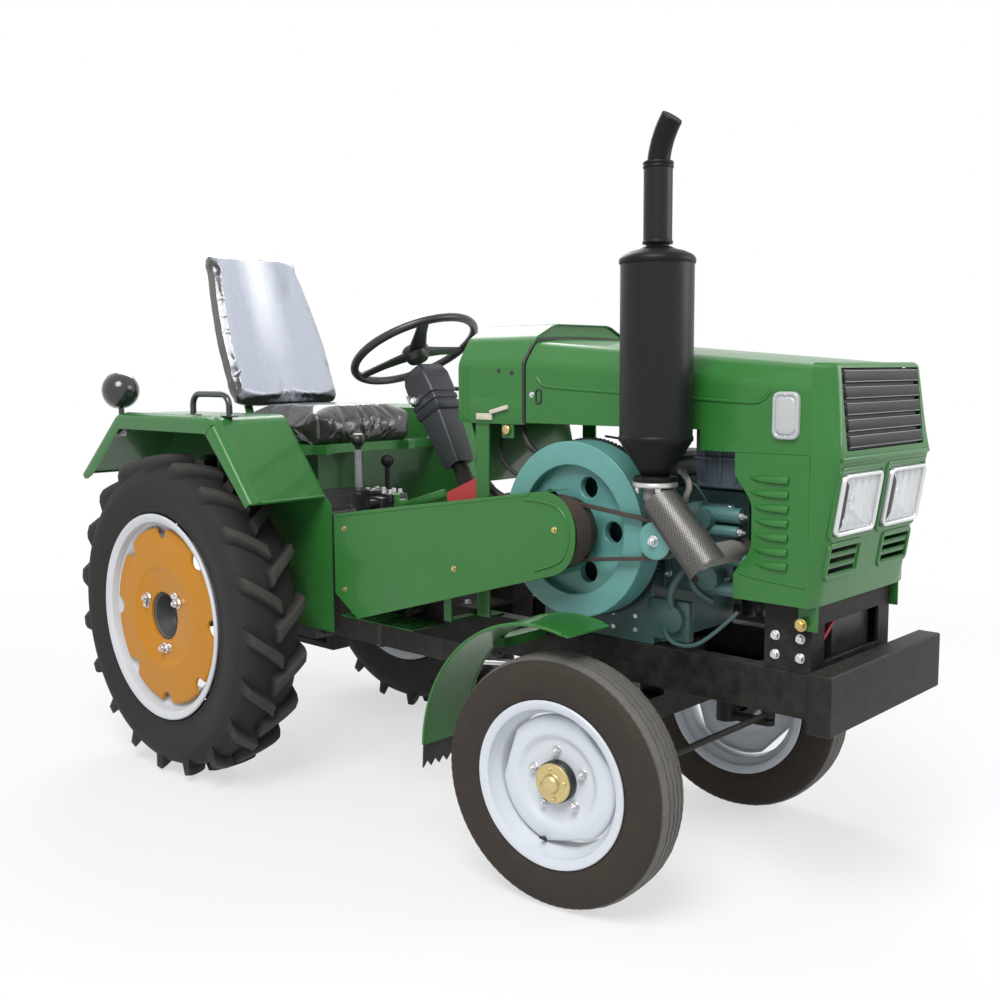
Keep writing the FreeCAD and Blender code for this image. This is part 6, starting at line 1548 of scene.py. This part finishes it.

# --- Seat cushion and backrest --------------------------------------------------------------------------
# Foam in a cover of black vinyl, puffed and a little wrinkled, and still in its clear wrapping film. Each
# lies on the seat frame, where it is flat.


def vinyl_with_painted_sheen(name, facing, painted_sheen_share, painted_sheen_colour, painted_streak_at):
    """Black vinyl under a clear wrap, painted pale where it faces the sky as painted reflection, with a
    painted upright highlight streak.
    """
    material = finish(name, (.022, .021, .021), .34, mottle=.12, grain=(38, .0035), dust=.05, Coat_Weight=.9,
                      Coat_Roughness=.09)
    tree = material.node_tree
    shader = tree.nodes["Principled BSDF"]
    under = shader.inputs["Base Color"].links[0].from_socket
    where = object_place(tree)
    turned = node_of(tree, "ShaderNodeVectorMath", operation="DOT_PRODUCT")
    link(tree, node_of(tree, "ShaderNodeNewGeometry").outputs["Normal"], turned.inputs[0])
    turned.inputs[1].default_value = facing
    stretch = node_of(tree, "ShaderNodeMapping", in_Scale=(1, 1.6, .5))
    link(tree, where, stretch.inputs["Vector"])
    creases = speckle(tree, stretch.outputs[0], 5, 5, .5, in_Distortion=.3)
    place = split(tree, where)
    # Painted highlight: a bright upright streak about the given y, wandering with the creases and fading
    # towards the bottom.
    wandering = maths(tree, "ADD", place["Y"], maths(tree, "MULTIPLY_ADD", creases, .09, -.045))
    off = maths(tree, "ABSOLUTE", maths(tree, "SUBTRACT", wandering, painted_streak_at))
    painted_streak = maths(tree, "MULTIPLY", ranged(tree, off, .012, .085, 1, 0),
                ranged(tree, place["Z"], 1.34, 1.60, .12))
    # The wrap's colour is painted reflection of the sky, paler still in the painted streak.
    painted_film_sheen = mixed(tree, painted_streak, painted_sheen_colour, (.86, .89, .97))
    # The painted reflection lies where the vinyl faces the given way and the wrap is taut.
    front = ranged(tree, turned.outputs["Value"], .72, .93)
    taut = ranged(tree, creases, .16, .46, .45)
    share = maths(tree, "MULTIPLY", maths(tree, "MULTIPLY", front, taut), painted_sheen_share)
    link(tree, mixed(tree, share, under, painted_film_sheen), shader.inputs["Base Color"])
    return material


def stuffed(node, material, start, body_at, cap):
    """The pad of a CAD node as a swollen cushion. Its start is a function that narrows the plain shape."""
    form = bmesh.new()
    form.from_mesh(frame["nodes"][node].data)
    bmesh.ops.remove_doubles(form, verts=form.verts, dist=.00001)
    inside = body_at.inverted()
    for v in form.verts:
        v.co = inside @ v.co
    span = [(min(v.co[i] for v in form.verts), max(v.co[i] for v in form.verts)) for i in range(3)]
    made = piece(node + "_cover", form, "chassis", material, 180)
    mesh = made.data
    remesh = made.modifiers.new("even faces", "REMESH")
    remesh.mode = "VOXEL"
    remesh.voxel_size = .0062
    graph = bpy.context.evaluated_depsgraph_get()
    even = bpy.data.meshes.new_from_object(made.evaluated_get(graph))
    made.modifiers.clear()
    even.materials.clear()
    even.materials.append(material)
    made.data = even
    bpy.data.meshes.remove(mesh)
    for v in even.vertices:
        share = [(v.co[i] - low) / (high - low) * 2 - 1 for i, (low, high) in enumerate(span)]
        v.co = body_at @ Vector(start(v.co.copy(), share))
    before = [v.co.copy() for v in even.vertices]
    cloth = made.modifiers.new("cover", "CLOTH")
    cloth.settings.use_pressure = True
    cloth.settings.uniform_pressure_force = 4
    cloth.settings.effector_weights.gravity = 0
    for frame_now in range(1, 21):
        bpy.context.scene.frame_set(frame_now)
    graph = bpy.context.evaluated_depsgraph_get()
    after = [v.co.copy() for v in made.evaluated_get(graph).data.vertices]
    made.modifiers.remove(cloth)
    bpy.context.scene.frame_set(1)
    for v, old, new in zip(even.vertices, before, after):
        move = new - old
        v.co = old + move * min(1, cap / max(move.length, .00001))
    smoother = made.modifiers.new("smooth cover", "SUBSURF")
    smoother.levels = smoother.render_levels = 1
    even.shade_smooth()
    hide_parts(node)


def narrowed_cushion(at, share):
    a, b, c = share
    round_plan = 1 - .055 * max(0, abs(b)) ** 4, 1 - .045 * max(0, abs(a)) ** 4
    crown = .006 * (1 - a * a) * (1 - b * b) if c > 0 else 0
    front_fall = .014 * max(0, c) * max(0, a - .55) ** 2
    return (-.602 + (at.x + .597) * .935 * round_plan[0], at.y * .945 * round_plan[1],
            1.071 + (at.z - 1.070) * (.82 if c > 0 else .80) + crown - front_fall)


# The cushion's wrap gets a weak painted reflection and a painted highlight streak.
cushion_vinyl = vinyl_with_painted_sheen("film on seat vinyl", (0, 0, 1), .28, (.22, .23, .25), -.08)
stuffed("seat_cushion", cushion_vinyl, narrowed_cushion, Matrix.Identity(4), .022)

back_place = standing(-.812, 0, 1.206) @ Matrix.Rotation(math.radians(-22), 4, "Y")
back_box = [back_place.inverted() @ v.co for v in frame["nodes"]["seat_back"].data.vertices]
back_low = Vector([min(p[i] for p in back_box) for i in range(3)])
back_high = Vector([max(p[i] for p in back_box) for i in range(3)])


def narrowed_back(at, share):
    a, b, c = share
    width = 1.17 - .24 * max(0, c + .3) ** 1.5 / 1.45 - .10 * max(0, -c - .6) ** 2 * 5
    corner = 1 - .045 * abs(b) ** 5
    middle = (back_low + back_high) / 2
    dish = -.008 * (1 - b * b) * (1 - c * c) if a > 0 else 0
    return (middle.x + (at.x - middle.x) * .64 + dish, at.y * width,
            middle.z + .004 + (at.z - middle.z) * 1.17 * corner)


back_lean = math.radians(22)
# Most of the backrest's face is painted pale as reflection on its wrap, with a painted highlight streak.
back_vinyl = vinyl_with_painted_sheen("film on backrest vinyl", (math.cos(back_lean), 0, math.sin(back_lean)), .93,
                           (.44, .47, .56), -.015)
stuffed("seat_back", back_vinyl, narrowed_back, back_place, .020)

# --- Front mudguards ------------------------------------------------------------------------------------
# Curved green sheets behind and above the steered wheels on arms from the rails. Their edges are rolled,
# and a flap of black rubber with a saw-toothed end is riveted on the lower end of each.

softened("front_mudguards", green, width=.001)
axle_x, axle_z, guard_radius = .808, .314, .3942
flaps, rivets = bmesh.new(), bmesh.new()
for name, side in right_and_left:
    for edge_name, y in (("inner", .3655), ("outer", .5245)):
        arc = [(axle_x + guard_radius * math.cos(math.radians(a)), side * y,
                axle_z + guard_radius * math.sin(math.radians(a))) for a in range(176, 76, -4)]
        (low_x, y, low_z), (high_x, y, high_z) = arc[0], arc[-1]
        arc = [(low_x, y, low_z - .012)] + arc + [(high_x + .016, y, high_z - .003)]
        pipe(f"{name}_guard_{edge_name}_roll", arc, .0042, "chassis", green, 8)
    low = [(side * (.372 + .0145 * i), .262 + (.018 if i % 2 else 0)) for i in range(11)]
    outline = low + [(side * .517, .352), (side * .372, .352)]
    loft(flaps, [[(x + (z - .352) * .06, y, z) for y, z in outline] for x in (.4065, .4115)])
    hexes(rivets, [standing(.4062, side * y, .340, backward) for y in (.385, .445, .505)], 7, 3, 11)
    for y in (.385, .40):
        angle = math.radians(129 + (y - .385) * 300)
        out = standing(axle_x + .396 * math.cos(angle), side * (y + .01), axle_z + .396 * math.sin(angle))
        hexes(rivets, [out @ Matrix.Rotation(math.pi / 2 - angle, 4, "Y")], 10, 5, 18)
piece("guard_flaps", flaps, "chassis", dark_rubber)
piece("guard_rivets", rivets, "chassis", zinc)

# --- Gearbox and rear axle ------------------------------------------------------------------------------
# Gearbox, axle housings and lift cover: rough grey iron castings bolted face to face and painted black
# after assembly, with a filler plug, a level plug and the cover's ring of bolts.

gear_iron = finish("painted gearbox iron", (.020, .021, .022), .5, mottle=.2, grain=(150, .0006), dust=.5,
                   wear=.4,
                   bare=(.10, .10, .10), Coat_Weight=.1, Coat_Roughness=.3)
softened("transaxle", gear_iron, width=.005, segments=3)
shaft_x, shaft_z = -.722, .560
ribs = bmesh.new()
slab(ribs, (-.866, -.128, .425), (-.860, .128, .680), .002)
slab(ribs, (-.870, -.095, .725), (-.860, .095, .890), .003)
for z in (.50, .60):
    slab(ribs, (-.50, -.1215, z - .004), (.05, .1215, z + .004), .002)
slab(ribs, (-.515, -.1235, .415), (-.495, .1235, .835), .003)
slab(ribs, (-.23, -.1215, .415), (-.21, .1215, .835), .003)
for side, turn in outward:
    drum_of(ribs, standing(shaft_x, side * .148, shaft_z, turn), .118, .012, 48, .003)
    drum_of(ribs, standing(shaft_x, side * .158, shaft_z, turn), .086, .040, 48, .006, .82)
piece("gearbox_ribs", ribs, "chassis", gear_iron)
box_bolts = bmesh.new()
hexes(box_bolts, [standing(-.866, y, z, backward) for y, z in (
    (-.115, .44), (-.115, .52), (-.115, .60), (-.115, .665), (.115, .44), (.115, .52), (.115, .60),
    (.115, .665),
    (-.05, .44), (.05, .44))], 14, 8, 0)
hexes(box_bolts, [standing(-.870, y, z, backward) for y in (-.08, 0, .08) for z in (.74, .875)], 14, 8)
hexes(box_bolts, [standing(x, y, .905) for x in (-.845, -.79, -.56) for y in (-.095, .095)], 14, 8, 0)
for side, turn in outward:
    hexes(box_bolts, [standing(shaft_x, side * .160, shaft_z, turn) @ place for place in
                      around(10, 104, 0, .3)], 14, 8)
    hexes(box_bolts, [standing(-.505, side * .1235, z, turn) for z in (.45, .53, .63, .72, .80)], 12, 7)
hexes(box_bolts, [standing(-.60, 0, .905)], 27, 12, 34)
piece("gearbox_bolts", box_bolts, "chassis", zinc)

# --- Three-point linkage --------------------------------------------------------------------------------
# Two green lift arms on the cross shaft, plated rods with adjusting sleeves and locknuts, and the flat
# green lower links with steel balls in their ends.

softened("lift_arms", green, width=.003)
softened("lower_links", green, width=.003)
softened("lift_rods", zinc, width=.0015)
sleeves = bmesh.new()
for side in (-1, 1):
    drum_of(sleeves, standing(-1.062, side * .216, .555), .0155, .135, 28, .003)
    for z in (.545, .690):
        bmesh.ops.create_cone(sleeves, cap_ends=True, segments=6, radius1=.0175, radius2=.0175, depth=.010,
                              matrix=standing(-1.062, side * .216, z))
piece("rod_sleeves", sleeves, frame["nodes"]["lift_rods"]["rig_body"], black_paint)

# --- Drawbar and output shaft ---------------------------------------------------------------------------
# A flat black drawbar under the gearbox, and the splined end of the power take-off with its collar.

softened("drawbar", heavy_black, width=.003)
softened("pto_shaft", zinc, width=.001)
spline = [Vector((0, math.cos(math.tau * (i + shift) / 6) * out, math.sin(math.tau * (i + shift) / 6) * out))
          for i in range(6) for shift, out in ((-.18, .0176), (.18, .0176), (.27, .0150), (.5, .0146))]
shaft = loft(bmesh.new(), [[(x, p.y * grow, .560 + p.z * grow) for p in spline]
                           for x, grow in ((-.875, 1.03), (-.945, 1.03), (-.9565, .9))])
piece("pto_splines", shaft, frame["nodes"]["pto_shaft"]["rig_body"], zinc)
